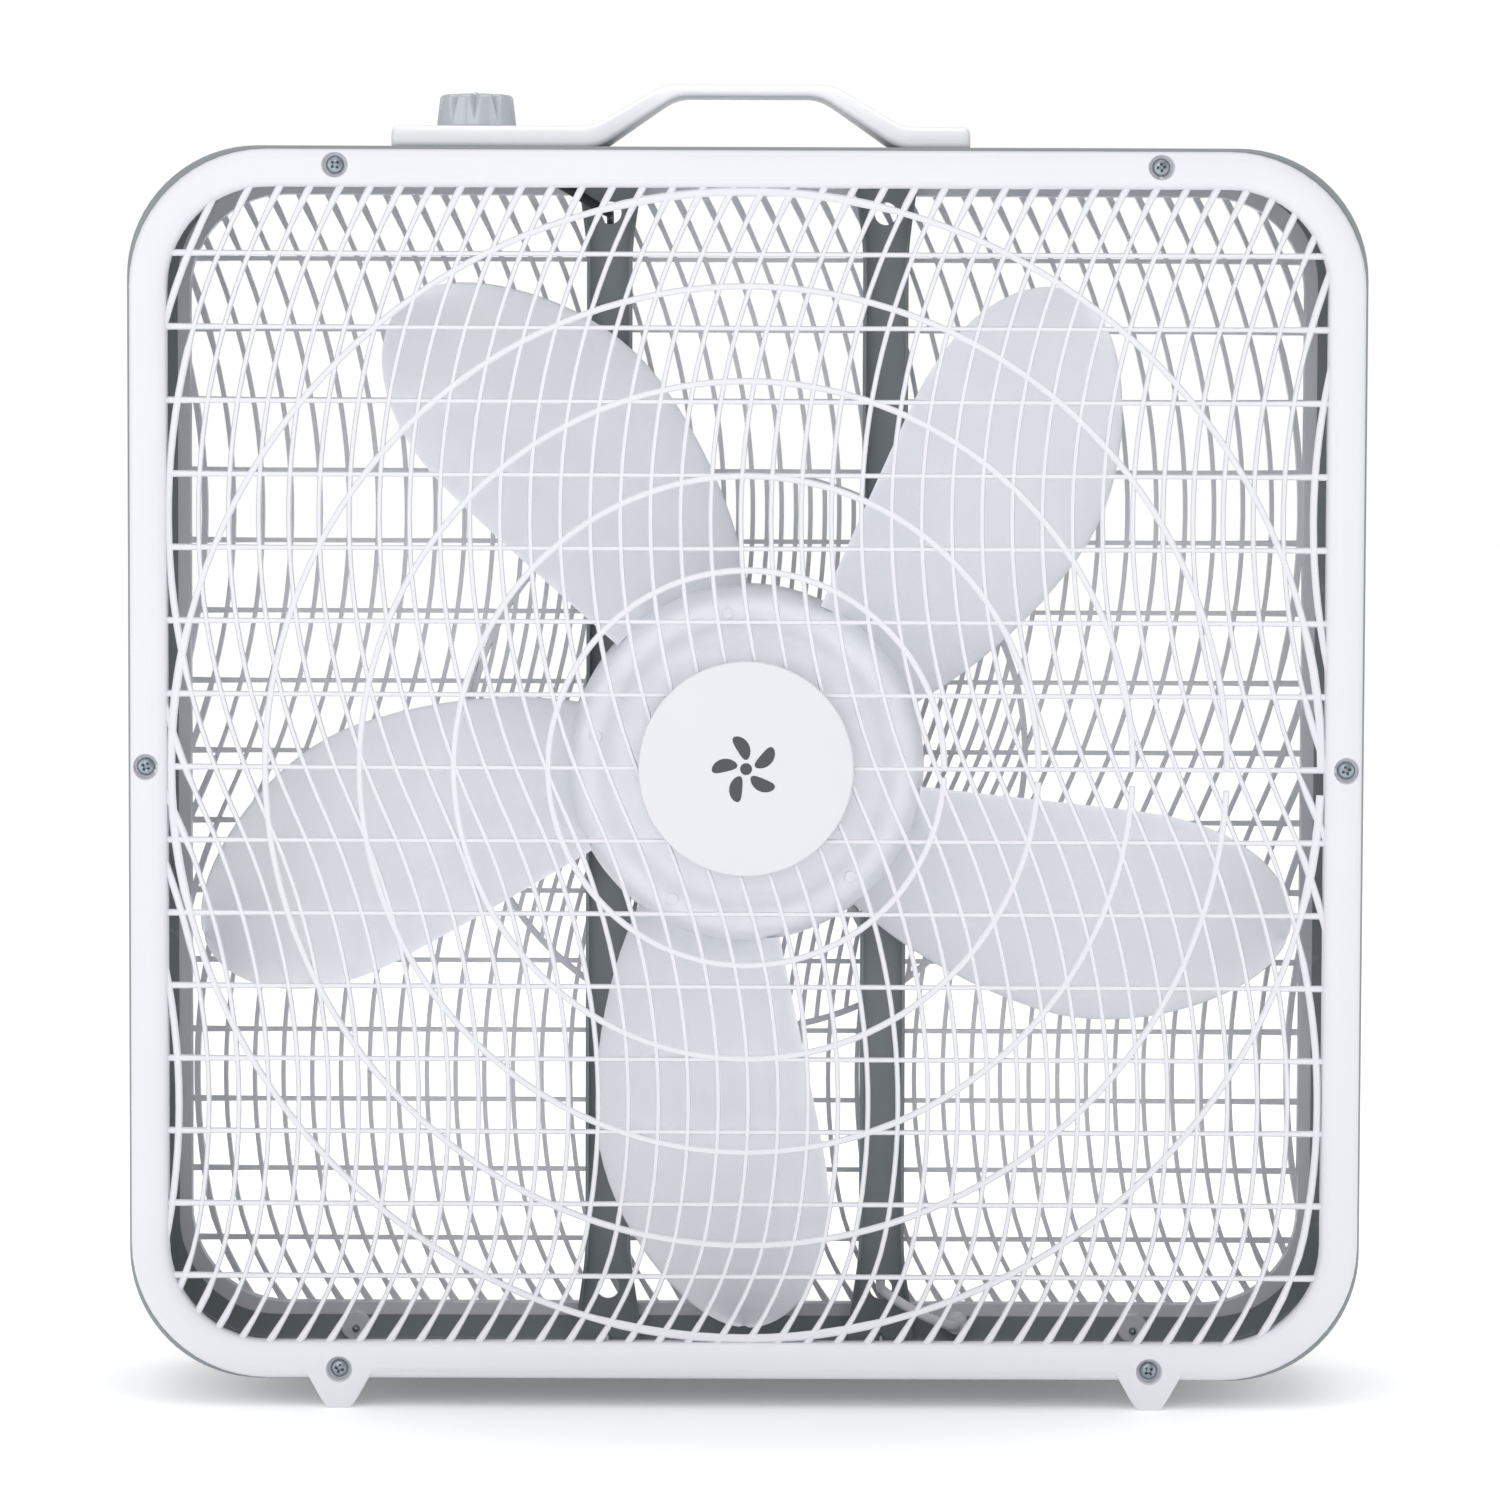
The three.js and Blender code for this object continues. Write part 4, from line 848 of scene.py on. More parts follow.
@dataclass
class Grille:
    """One moulded grille: rim with two foot lugs, bars, S-shaped ribs and rings."""

    node: str
    side: Side
    rings: tuple[float, ...]
    dense_within: float = 0.0
    rim_width: float = 16 * MM
    rim_corner: float = 58.5 * MM
    web_setback: float = 3 * MM
    web_depth: float = 3.5 * MM
    bar_count: int = 15
    bar_pitch: float = 31.3 * MM
    bar_height: float = 2.1 * MM
    rib_pitch: float = 12.85 * MM
    rib_width: float = 2.15 * MM
    rib_flare: float = 0.9 * MM
    rib_radius: float = 300 * MM
    rib_lean: float = 27.7 * MM
    rib_phase: float = -0.6 * MM
    rib_curl: float = 3.3
    curl_below: float = -200 * MM
    upper_waist: float = 107 * MM
    lower_waist: float = -145 * MM
    ring_width: float = 2.8 * MM
    ring_sides: int = 144
    ring_lift: float = 0.15 * MM
    bar_lift: float = -0.2 * MM
    bar_tuck: float = 0.3 * MM
    bar_step: float = 60 * MM
    rib_step: float = 9 * MM
    flare_reach: float = 9 * MM
    strand_foot: float = 0.42
    strand_crown: float = 0.3
    strand_shoulder: float = 0.9 * MM
    strand_bevel: float = 0.15 * MM
    rim_foot: float = 1.2 * MM
    rim_inset: float = 0.4 * MM
    rim_shoulder: float = 5.2 * MM
    rim_fullness: float = 0.72
    rim_steps: int = 14
    lug_place: float = 174 * MM
    lug_height: float = 22 * MM
    lug_top: float = 36 * MM
    lug_bottom: float = 11.6 * MM
    lug_setback: float = 0.1 * MM
    lug_edge: float = 1.2 * MM
    boss_radius: float = 6.8 * MM
    boss_height: float = 17.5 * MM
    boss_root: float = 1 * MM
    boss_reach: float = 2.8 * MM
    boss_bevel: float = 0.6 * MM
    recess: float = 10.8 * MM
    recess_depth: float = 4.4 * MM

    def __post_init__(self) -> None:
        """Reads the rim's planes and middle from the frame."""
        case = Extent.of("case_band")
        extent = Extent.of(self.node)
        self.centre_z = case.middle.z
        self.half_x = extent.size.x / 2
        self.half_z = extent.high.z - case.middle.z
        self.depth = extent.size.y
        self.face = max(abs(extent.low.y), abs(extent.high.y))
        self.opening = self.half_x - self.rim_width
        self.web_face = self.face - self.web_setback

    def point(self, x: float, depth: float, z: float) -> Vector:
        """A point of the grille seen from its own front.

        Args:
            x: To the right of the middle.
            depth: Distance from the fan's middle plane.
            z: Above the fan's axis.

        Returns:
            The point in the frame.
        """
        flip = -self.side.value
        return Vector((flip * x, -flip * depth, self.centre_z + z))

    def swing(self, z: float) -> float:
        """How far a rib has swung sideways.

        Args:
            z: Height above the axis.

        Returns:
            The swing: one arc above the waists' middle, and the opposite one below.
        """
        upper = z > (self.upper_waist + self.lower_waist) / 2
        rise = z - (self.upper_waist if upper else self.lower_waist)
        sagitta = self.rib_radius - math.sqrt(self.rib_radius**2 - rise**2)
        curl = self.rib_curl * max(0.0, self.curl_below - z) ** 2
        return sagitta - self.rib_lean if upper else self.rib_lean - sagitta - curl

    def within_rim(self, x: float, z: float, margin: float = 5 * MM) -> bool:
        """Says whether a point lies in the rim's opening.

        Args:
            x: To the right of the middle.
            z: Above the axis.
            margin: How far under the rim still counts.

        Returns:
            True if it lies inside.
        """
        corner = self.rim_corner - self.rim_width + margin
        reach = self.opening + margin
        over_x = abs(x) - (reach - corner)
        over_z = abs(z) - (reach - corner)
        if over_x > 0 and over_z > 0:
            return math.hypot(over_x, over_z) < corner
        return abs(x) < reach and abs(z) < reach

    def strand(
        self, skin: Skin, path: Sequence[Point2], width: float, lift: float, tuck: float = 0.0
    ) -> None:
        """Adds one bar, rib or stretch of ring along a path in the web.

        Args:
            skin: The mesh that it joins.
            path: Points seen from the grille's own front. A closed path repeats none.
            width: Its width.
            lift: How far its face stands before the web's face.
            tuck: How far its back stands before the web's back.
        """
        closed = math.dist(path[0], path[-1]) < 0.2 * self.rib_pitch and len(path) > 20
        back = self.web_face - self.web_depth + tuck
        front = self.web_face + lift
        shoulder, crown = front - self.strand_shoulder, front - self.strand_bevel
        section = (
            (-self.strand_foot, back),
            (-0.5, shoulder),
            (-self.strand_crown, crown),
            (self.strand_crown, crown),
            (0.5, shoulder),
            (self.strand_foot, back),
        )
        loops = []
        count = len(path)
        for index, (x, z) in enumerate(path):
            before = path[index - 1] if closed or index else path[0]
            after = path[(index + 1) % count] if closed or index + 1 < count else path[-1]
            run = Vector((after[0] - before[0], after[1] - before[1])).normalized()
            flare = 0.0 if self.within_rim(x, z, -self.flare_reach) else self.rib_flare
            reach = width + flare
            loops.append(
                [self.point(x - run.y * u * reach, y, z + run.x * u * reach) for u, y in section]
            )
        skin.loft(loops, ring=closed)

    def clipped(
        self, course: Callable[[float], Point2], inside: Callable[[float, float], bool], step: float
    ) -> list[list[Point2]]:
        """Cuts a long course into the stretches that lie inside an outline.

        Args:
            course: Gives a point for a place along the course.
            inside: Says whether a point is inside.
            step: The spacing of the places.

        Returns:
            The stretches that are more than two points long.
        """
        reach = self.half_x
        places = [-reach + step * index for index in range(int(2 * reach / step) + 2)]
        stretches: list[list[Point2]] = [[]]
        for here, following in zip(places, places[1:]):
            in_here, in_next = inside(*course(here)), inside(*course(following))
            if in_here:
                stretches[-1].append(course(here))
            if in_here != in_next:
                low, high = here, following
                for _ in range(12):
                    middle = (low + high) / 2
                    if inside(*course(middle)) == in_here:
                        low = middle
                    else:
                        high = middle
                stretches[-1].append(course(low))
                if in_here:
                    stretches.append([])
        return [stretch for stretch in stretches if len(stretch) > 2]

    def web(self, skin: Skin) -> None:
        """Adds the bars, ribs and rings.

        Args:
            skin: The mesh that they join.
        """
        for number in range(self.bar_count):
            z = (number - (self.bar_count - 1) / 2) * self.bar_pitch
            for path in self.clipped(lambda x: (x, z), self.within_rim, self.bar_step):
                self.strand(skin, path, self.bar_height, self.bar_lift, self.bar_tuck)
        side_ribs = int((self.opening + self.rib_lean) / self.rib_pitch) + 1
        for number in range(-side_ribs, side_ribs + 1):
            start = number * self.rib_pitch + self.rib_phase
            self.rib(skin, start, self.within_rim)
            if self.dense_within:
                self.rib(
                    skin,
                    start + self.rib_pitch / 2,
                    lambda x, z: math.hypot(x, z) < self.dense_within,
                )
        turns = [math.tau * side / self.ring_sides for side in range(self.ring_sides)]
        for radius in self.rings:
            circle = [(radius * math.cos(turn), radius * math.sin(turn)) for turn in turns]
            self.strand(skin, circle, self.ring_width, self.ring_lift, self.ring_lift)

    def rib(self, skin: Skin, start: float, inside: Callable[[float, float], bool]) -> None:
        """Adds one S-shaped rib.

        Args:
            skin: The mesh that it joins.
            start: Where it would cross the axis's height without its swing.
            inside: Says whether a point of it is kept.
        """
        for path in self.clipped(lambda z: (start + self.swing(z), z), inside, self.rib_step):
            self.strand(skin, path, self.rib_width, 0.0)

    def rim(self) -> bpy.types.Object:
        """Builds the pillow-shaped rim with its foot lugs.

        Returns:
            The rim, not yet cut for the screws.
        """
        half_width = self.rim_width / 2
        back = self.face - self.depth
        shoulder = self.face - self.rim_shoulder
        section = [
            (half_width * 2 - self.rim_inset, back),
            (self.rim_inset, back),
            (0.0, back + self.rim_foot),
        ]
        for step in range(self.rim_steps + 1):
            turn = math.pi * (1 - step / self.rim_steps)
            across = math.copysign(abs(math.cos(turn)) ** self.rim_fullness, math.cos(turn))
            rise = max(0.0, math.sin(turn)) ** self.rim_fullness
            section.append((half_width * (1 + across), shoulder + rise * (self.face - shoulder)))
        section.append((half_width * 2, back + self.rim_foot))
        corner = self.rim_corner - self.rim_width
        loops = [
            [
                self.point(x, depth, z)
                for x, z in rounded_square(
                    self.opening + out, self.half_z - self.rim_width + out, corner + out
                )
            ]
            for out, depth in section
        ]
        skin = Skin().loft(loops, ring=True)
        for place in (-self.lug_place, self.lug_place):
            self.lug(skin, place)
            self.boss(skin, place)
        return skin.object(self.node + "_moulding")

    def boss(self, skin: Skin, place: float) -> None:
        """Adds the round boss behind a foot screw, which looks out over the case's lip.

        Args:
            skin: The mesh that it joins.
            place: The boss's middle along X.
        """
        back = self.face - self.depth
        height = self.boss_height - self.centre_z
        profile = (
            (0.0, back + self.boss_root),
            (self.boss_radius, back + self.boss_root),
            (self.boss_radius, back - self.boss_reach + self.boss_bevel),
            (self.boss_radius - self.boss_bevel, back - self.boss_reach),
            (0.0, back - self.boss_reach),
        )
        skin.turned(
            profile,
            lambda turn, radius, depth: self.point(
                place + radius * math.cos(turn), depth, height + radius * math.sin(turn)
            ),
            28,
        )

    def lug(self, skin: Skin, place: float) -> None:
        """Adds a tapered foot lug under the rim.

        Args:
            skin: The mesh that it joins.
            place: The lug's middle along X.
        """
        foot = -self.centre_z
        back, front = self.face - self.depth, self.face - self.lug_setback
        stations = (0.0, 0.0, 0.05, 0.2, 0.5, 0.8, 1.0)
        insets = (0.9 * MM, 0.4 * MM, 0.0, 0.0, 0.0, 0.0, 0.0)
        loops = []
        for share, inset in zip(stations, insets):
            half = self.lug_bottom / 2 + share * (self.lug_top - self.lug_bottom) / 2 - inset
            z = foot + share * self.lug_height + (0.6 * MM if 0 < share < 0.1 else 0)
            middle = (back + front) / 2
            outline = rounded_square(half, (front - back) / 2 - inset * 0.6, self.lug_edge, 4)
            loops.append([self.point(place + x, middle + y, z) for x, y in outline])
        skin.loft(loops)

    def screw_places(self) -> list[tuple[float, float]]:
        """Reads the screws' places from the frame.

        Returns:
            Pairs to the right of the middle and above the axis, seen from this grille's front.
        """
        name = "front_screw_" if self.side is Side.FRONT else "rear_screw_"
        flip = -self.side.value
        middles = [Extent.of(f"{name}{number}").middle for number in range(1, 7)]
        return [(flip * middle.x, middle.z - self.centre_z) for middle in middles]

    def build(self, palette: Palette) -> None:
        """Builds and dresses the grille.

        Args:
            palette: The finishes.
        """
        rim = self.rim()
        cutters = []
        for x, z in self.screw_places():
            profile = (
                (0.0, self.face - self.recess_depth),
                (self.recess / 2 - 0.5 * MM, self.face - self.recess_depth),
                (self.recess / 2, self.face - 0.8 * MM),
                (self.recess / 2 + 0.8 * MM, self.face + 1 * MM),
                (0.0, self.face + 1 * MM),
            )
            skin = Skin().turned(
                profile,
                lambda turn, radius, depth: self.point(
                    x + radius * math.cos(turn), depth, z + radius * math.sin(turn)
                ),
                32,
            )
            cutters.append(skin.object("recess"))
        if self.side is Side.REAR:
            relief = Extent.of("strain_relief").middle
            cutters.append(drill(about_y(relief), CORD_HOLE, 40 * MM, 70 * MM))
        cut(rim, cutters)
        web = Skin()
        self.web(web)
        web_mesh = web.mesh("web")
        whole = bmesh.new()
        whole.from_mesh(rim.data)
        whole.from_mesh(web_mesh)
        whole.to_mesh(rim.data)
        whole.free()
        bpy.data.meshes.remove(web_mesh)
        settle(rim, palette.white, "white_plastic", Body.HOUSING, self.node)


@dataclass
class Badge:
    """The plain round disc on the front grille, with a small printed fan."""

    edge: float = 1.0 * MM
    glyph_radius: float = 15 * MM
    petals: int = 5

    def build(self, palette: Palette) -> None:
        """Builds and dresses the disc and its print.

        Args:
            palette: The finishes.
        """
        extent = Extent.of("badge_disc")
        radius = extent.size.x / 2
        front, back = extent.low.y, extent.high.y
        arc = [
            (radius - self.edge * (1 - math.sin(t)), front + self.edge * (1 - math.cos(t)))
            for t in (math.pi / 2 * step / 5 for step in range(6))
        ]
        profile = [(0.0, front), (radius * 0.6, front), *arc, (radius, back), (0.0, back)]
        disc = Skin().turned(profile, about_y(extent.middle), 96).object("badge_cap")
        settle(disc, palette.badge, "white_plastic", Body.HOUSING, "badge_disc")
        self.glyph(extent, palette)

    def glyph(self, extent: Extent, palette: Palette) -> None:
        """Prints the small fan: leaf-shaped petals round a dot.

        Args:
            extent: The disc's box.
            palette: The finishes.
        """
        skin = Skin()
        front = extent.low.y
        planes = (front - 0.08 * MM, front + 0.1 * MM)
        for petal in range(self.petals):
            heading = math.tau * petal / self.petals + math.pi / 2
            outline = []
            for step in range(24):
                turn = math.tau * step / 24
                along = self.glyph_radius * (0.62 - 0.36 * math.cos(turn))
                aside = self.glyph_radius * 0.17 * math.sin(turn) * (1.15 - 0.3 * math.cos(turn))
                bend = 0.35 * (along / self.glyph_radius) ** 2
                outline.append((along, aside / along + heading + bend))
            loops = [
                [
                    Vector(
                        (
                            extent.middle.x + reach * math.cos(turn),
                            plane,
                            extent.middle.z + reach * math.sin(turn),
                        )
                    )
                    for reach, turn in outline
                ]
                for plane in planes
            ]
            skin.loft(loops)
        hub = self.glyph_radius * 0.17
        skin.turned([(0.0, planes[0]), (hub, planes[0]), (hub, planes[1]), (0.0, planes[1])],
                    about_y(extent.middle), 32)
        mark = skin.object("badge_print")
        settle(mark, palette.glyph, "black_plastic", Body.HOUSING)


# ---- Case and straps -----------------------------------------------------------------------


@dataclass
class Case:
    """The sheet-steel band with its lips, its holes for the switch spindle and the cord, and its bottom
    seam.
    """

    wall: float = 1.2 * MM
    lip: float = 12 * MM
    bend: float = 2.2 * MM
    corner: float = 56 * MM
    seam: float = 0.7 * MM
    spindle_hole: float = 6 * MM
    overshoot: float = 10 * MM

    def build(self, palette: Palette) -> None:
        """Builds and dresses the band.

        Args:
            palette: The finishes.
        """
        extent = Extent.of("case_band")
        half_x, half_z, half_y = (side / 2 for side in (extent.size.x, extent.size.z, extent.size.y))
        middle = extent.middle
        outer, inner = [], []
        for sign in (-1, 1):
            turns = [math.pi / 2 * step / 4 for step in range(5)]
            corner_out = [
                (-self.bend * (1 - math.cos(t)), sign * (half_y - self.bend * (1 - math.sin(t))))
                for t in turns
            ]
            small = self.bend - self.wall
            corner_in = [
                (
                    -self.wall - small * (1 - math.cos(t)),
                    sign * (half_y - self.wall - small * (1 - math.sin(t))),
                )
                for t in turns
            ]
            run_out = [*corner_out, (-self.lip, sign * half_y)]
            run_in = [*corner_in, (-self.lip, sign * (half_y - self.wall))]
            outer.append(run_out)
            inner.append(run_in)
        section = [*reversed(outer[0]), *outer[1], *reversed(inner[1]), *inner[0]]
        loops = [
            [
                Vector((middle.x + x, middle.y + y, middle.z + z))
                for x, z in rounded_square(half_x + out, half_z + out, self.corner + out, 18)
            ]
            for out, y in section
        ]
        band = Skin().loft(loops, ring=True).object("case_shell")
        past = half_y + self.overshoot
        seam_box = [
            [
                Vector((side * self.seam / 2, y, z))
                for side, y in ((-1, -past), (1, -past), (1, past), (-1, past))
            ]
            for z in (extent.low.z - 0.001, extent.low.z + 0.6 * self.wall)
        ]
        spindle = Extent.of("switch_spindle").middle
        top = extent.high.z
        hole = drill(about_z(spindle), self.spindle_hole, top - self.overshoot, top + self.overshoot)
        relief = Extent.of("strain_relief").middle
        cord_hole = drill(about_y(relief), CORD_HOLE, 30 * MM, 60 * MM)
        cut(band, [Skin().loft(seam_box).object("seam"), hole, cord_hole])
        settle(band, palette.case, "case_steel", Body.HOUSING, "case_band")


@dataclass
class Strap:
    """One folded upright that carries the motor."""

    node: str
    width: float = 20 * MM
    end_width: float = 29 * MM
    flare: float = 46 * MM
    wall: float = 1.5 * MM
    flange: float = 6 * MM
    tab: float = 13.8 * MM
    hole: float = 10 * MM
    hole_height: float = 24 * MM

    def half_width(self, height: float, length: float) -> float:
        """Half of the strap's width at a height above its foot.

        Args:
            height: Height above the foot.
            length: The strap's whole height.

        Returns:
            The half width, growing smoothly towards both ends.
        """
        from_end = min(height, length - height)
        share = max(0.0, 1 - from_end / self.flare)
        smooth = share * share * (3 - 2 * share)
        return self.width / 2 + smooth * (self.end_width - self.width) / 2

    def build(self, palette: Palette) -> None:
        """Builds and dresses the strap.

        Args:
            palette: The finishes.
        """
        extent = Extent.of(self.node)
        x, back = extent.middle.x, extent.high.y
        length = extent.size.z
        stations = sorted({0.0, 0.5 * MM, *(s * self.flare / 8 for s in range(1, 9)), length / 2})
        heights = sorted({*stations, *(length - s for s in stations)})
        loops = []
        for height in heights:
            half = self.half_width(height, length)
            from_end = min(height, length - height)
            grow = min(1.0, max(0.0, (from_end - 0.3 * self.flare) / (0.5 * self.flare)))
            reach = 0.4 * MM + self.flange * grow
            front = back - self.wall - reach
            bend = 0.8 * MM
            section = (
                (-half, front), (-half, back - bend), (-half + bend, back),
                (half - bend, back), (half, back - bend), (half, front),
                (half - self.wall, front), (half - self.wall, back - self.wall - 0.2 * MM),
                (half - self.wall - 0.6 * MM, back - self.wall),
                (-half + self.wall + 0.6 * MM, back - self.wall),
                (-half + self.wall, back - self.wall - 0.2 * MM), (-half + self.wall, front),
            )
            loops.append([Vector((x + u, y, extent.low.z + height)) for u, y in section])
        skin = Skin().loft(loops)
        half = self.end_width / 2
        for z0, z1 in (
            (extent.low.z, extent.low.z + self.wall),
            (extent.high.z - self.wall, extent.high.z),
        ):
            outline = rounded_square(half, self.tab / 2, 4 * MM, 6)
            middle = back - self.tab / 2 - 0.1 * MM
            skin.loft([[Vector((x + u, middle + v, z)) for u, v in outline] for z in (z0, z1)])
        strap = skin.object(self.node + "_pressing")
        holes = []
        for z in (extent.low.z + self.hole_height, extent.high.z - self.hole_height):
            place = about_y(Vector((x, 0, z)))
            radius = self.hole / 2
            profile = ((0.0, back - 9 * MM), (radius, back - 9 * MM), (radius, back + 1 * MM),
                       (0.0, back + 1 * MM))
            holes.append(Skin().turned(profile, place, 32).object("hole"))
        cut(strap, holes)
        settle(strap, palette.case, "case_steel", Body.HOUSING, self.node)


# ---- Handle and knob -----------------------------------------------------------------------


@dataclass
class Handle:
    """The control panel with the arched grip, in one moulding."""

    plate: float = 9.4 * MM
    end_round: float = 3 * MM
    arch_half: float = 36.5 * MM
    arch_foot: float = 66.5 * MM
    under_half: float = 31 * MM
    under_foot: float = 64.5 * MM
    strap: float = 5.4 * MM
    soften: float = 4.5 * MM
    grip_half_depth: float = 15 * MM
    edge: float = 2.6 * MM

    def build(self, palette: Palette) -> None:
        """Builds and dresses the moulding.

        Args:
            palette: The finishes.
        """
        extent = Extent.of("handle_panel")
        base, height = extent.low.z, extent.size.z
        half_depth = extent.size.y / 2

        def ramp(x: float, inner: float, outer: float, low: float, high: float) -> float:
            """A level that falls from `high` inside `inner` to `low` outside `outer`."""
            share = min(1.0, max(0.0, (outer - abs(x)) / (outer - inner)))
            return low + share * (high - low)

        def softened(x: float, level: Callable[[float], float]) -> float:
            """The mean of a level over a short stretch either side of x."""
            taps = [x + self.soften * (step / 4 - 1) for step in range(9)]
            return sum(level(tap) for tap in taps) / len(taps)

        def top(x: float) -> float:
            """The upper outline above the moulding's base."""
            return softened(x, lambda t: ramp(t, self.arch_half, self.arch_foot, self.plate, height))

        def under(x: float) -> float:
            """The lower outline above the moulding's base.

            Args:
                x: To the right of the handle's middle.

            Returns:
                The level there, and 0 where the moulding lies on the case.
            """
            bare = softened(
                x, lambda t: ramp(t, self.under_half, self.under_foot, 0.0, height - self.strap)
            )
            return 0.0 if abs(x) > self.under_foot + self.soften else bare

        loops = []
        left, right = extent.low.x, extent.high.x
        ends = [self.end_round * (1 - math.cos(math.pi / 2 * s / 5)) for s in range(6)]
        inside = [left + self.end_round + i * 3 * MM for i in range(1, int((right - left) / (3 * MM)))]
        stations = [left + end for end in ends]
        stations += [x for x in inside if x < right - self.end_round - 1 * MM]
        stations += [right - end for end in reversed(ends)]
        for x in stations:
            from_end = min(x - left, right - x)
            short = max(0.0, 1 - from_end / self.end_round)
            drop = self.end_round * (1 - math.sqrt(max(0.0, 1 - short**2)))
            high, low = top(x) - drop, under(x)
            lifted = min(1.0, low / (0.6 * height))
            reach = half_depth + (self.grip_half_depth - half_depth) * lifted - drop
            rise = max(high - low, 2 * MM)
            corner = min(self.edge, 0.45 * rise)
            outline = rounded_square(reach, rise / 2, corner, 5)
            middle = base + (high + low) / 2
            loops.append([Vector((x, y, middle + z)) for y, z in outline])
        panel = Skin().loft(loops).object("handle_moulding", 50)
        settle(panel, palette.shell, "white_plastic", Body.HOUSING, "handle_panel")


@dataclass
class Knob:
    """The fluted speed knob."""

    flutes: int = 10
    flute_width: float = 4.8 * MM
    flute_depth: float = 2.6 * MM
    flute_start: float = 2.5 * MM
    steps_per_flute: int = 20
    shoulder: float = 2.2 * MM
    dome: float = 0.7 * MM
    taper: float = 1.4 * MM
    pointer_length: float = 7 * MM
    pointer_width: float = 1.2 * MM
    pointer_depth: float = 1.2 * MM
    pointer_place: float = 8.2 * MM
    pointer_sink: float = 0.08 * MM

    def radius(self, outer: float, height: float, rise: float, turn: float) -> float:
        """The knob's radius at a height and an angle.

        Args:
            outer: The radius at the foot.
            height: The height of the knob's wall.
            rise: Height above the foot.
            turn: The angle in radians.

        Returns:
            The radius, less where a flute cuts in.
        """
        wall = outer - self.taper * rise / height
        share = max(0.0, (rise - self.flute_start) / (height - self.flute_start))
        pitch = math.tau / self.flutes
        off = (turn / pitch) % 1.0 - 0.5
        aside = abs(off) * pitch * wall
        half = self.flute_width / 2 * share
        dip = self.flute_depth * share * max(0.0, 1 - aside / half) if half > 0 else 0.0
        return wall - dip

    def build(self, palette: Palette) -> None:
        """Builds and dresses the knob and its pointer.

        Args:
            palette: The finishes.
        """
        extent = Extent.of("speed_knob")
        middle = extent.middle
        outer, total = extent.size.x / 2, extent.size.z
        wall = total - self.shoulder - self.dome
        sides = self.flutes * self.steps_per_flute
        place = about_z(middle)
        loops = []
        rises = [0.0, 0.4 * MM, *(wall * step / 14 for step in range(1, 15))]
        for rise in rises:
            foot = 0.4 * MM if rise == 0 else 0.0
            loops.append(
                [
                    place(
                        math.tau * side / sides,
                        self.radius(outer, wall, rise, math.tau * side / sides) - foot,
                        extent.low.z + rise,
                    )
                    for side in range(sides)
                ]
            )
        for step in range(1, 7):
            bow = math.pi / 2 * step / 6
            inset = self.shoulder * (1 - math.cos(bow))
            loops.append(
                [
                    place(
                        math.tau * side / sides,
                        self.radius(outer, wall, wall, math.tau * side / sides) - inset,
                        extent.low.z + wall + self.shoulder * math.sin(bow),
                    )
                    for side in range(sides)
                ]
            )
        crown = outer - self.taper - self.shoulder - self.flute_depth
        for share in (1.0, 0.8, 0.55, 0.3, 0.0):
            lift = self.dome * (1 - share**2) - (0.05 * MM if share == 1.0 else 0.0)
            radius = max(crown * share, 1e-6)
            loops.append(
                [
                    place(math.tau * side / sides, radius, extent.high.z - self.dome + lift)
                    for side in range(sides)
                ]
            )
        knob = Skin().loft(loops).object("knob_moulding", 32)
        settle(knob, palette.knob, "grey_plastic", Body.KNOB, "speed_knob")
        self.pointer(extent, palette)

    def pointer(self, extent: Extent, palette: Palette) -> None:
        """Inlays the short line that points at the speed.

        Args:
            extent: The knob's box.
            palette: The finishes.
        """
        half = self.pointer_width / 2
        outline = rounded_square(half, self.pointer_length / 2, half * 0.98, 5)
        middle_y = extent.middle.y - extent.size.y / 2 + self.pointer_place
        top = extent.high.z - self.pointer_sink
        loops = [
            [Vector((extent.middle.x + x, middle_y + y, z)) for x, y in outline]
            for z in (top - self.pointer_depth, top)
        ]
        mark = Skin().loft(loops).object("knob_pointer")
        settle(mark, palette.white, "white_plastic", Body.KNOB)


# ---- Impeller ------------------------------------------------------------------------------


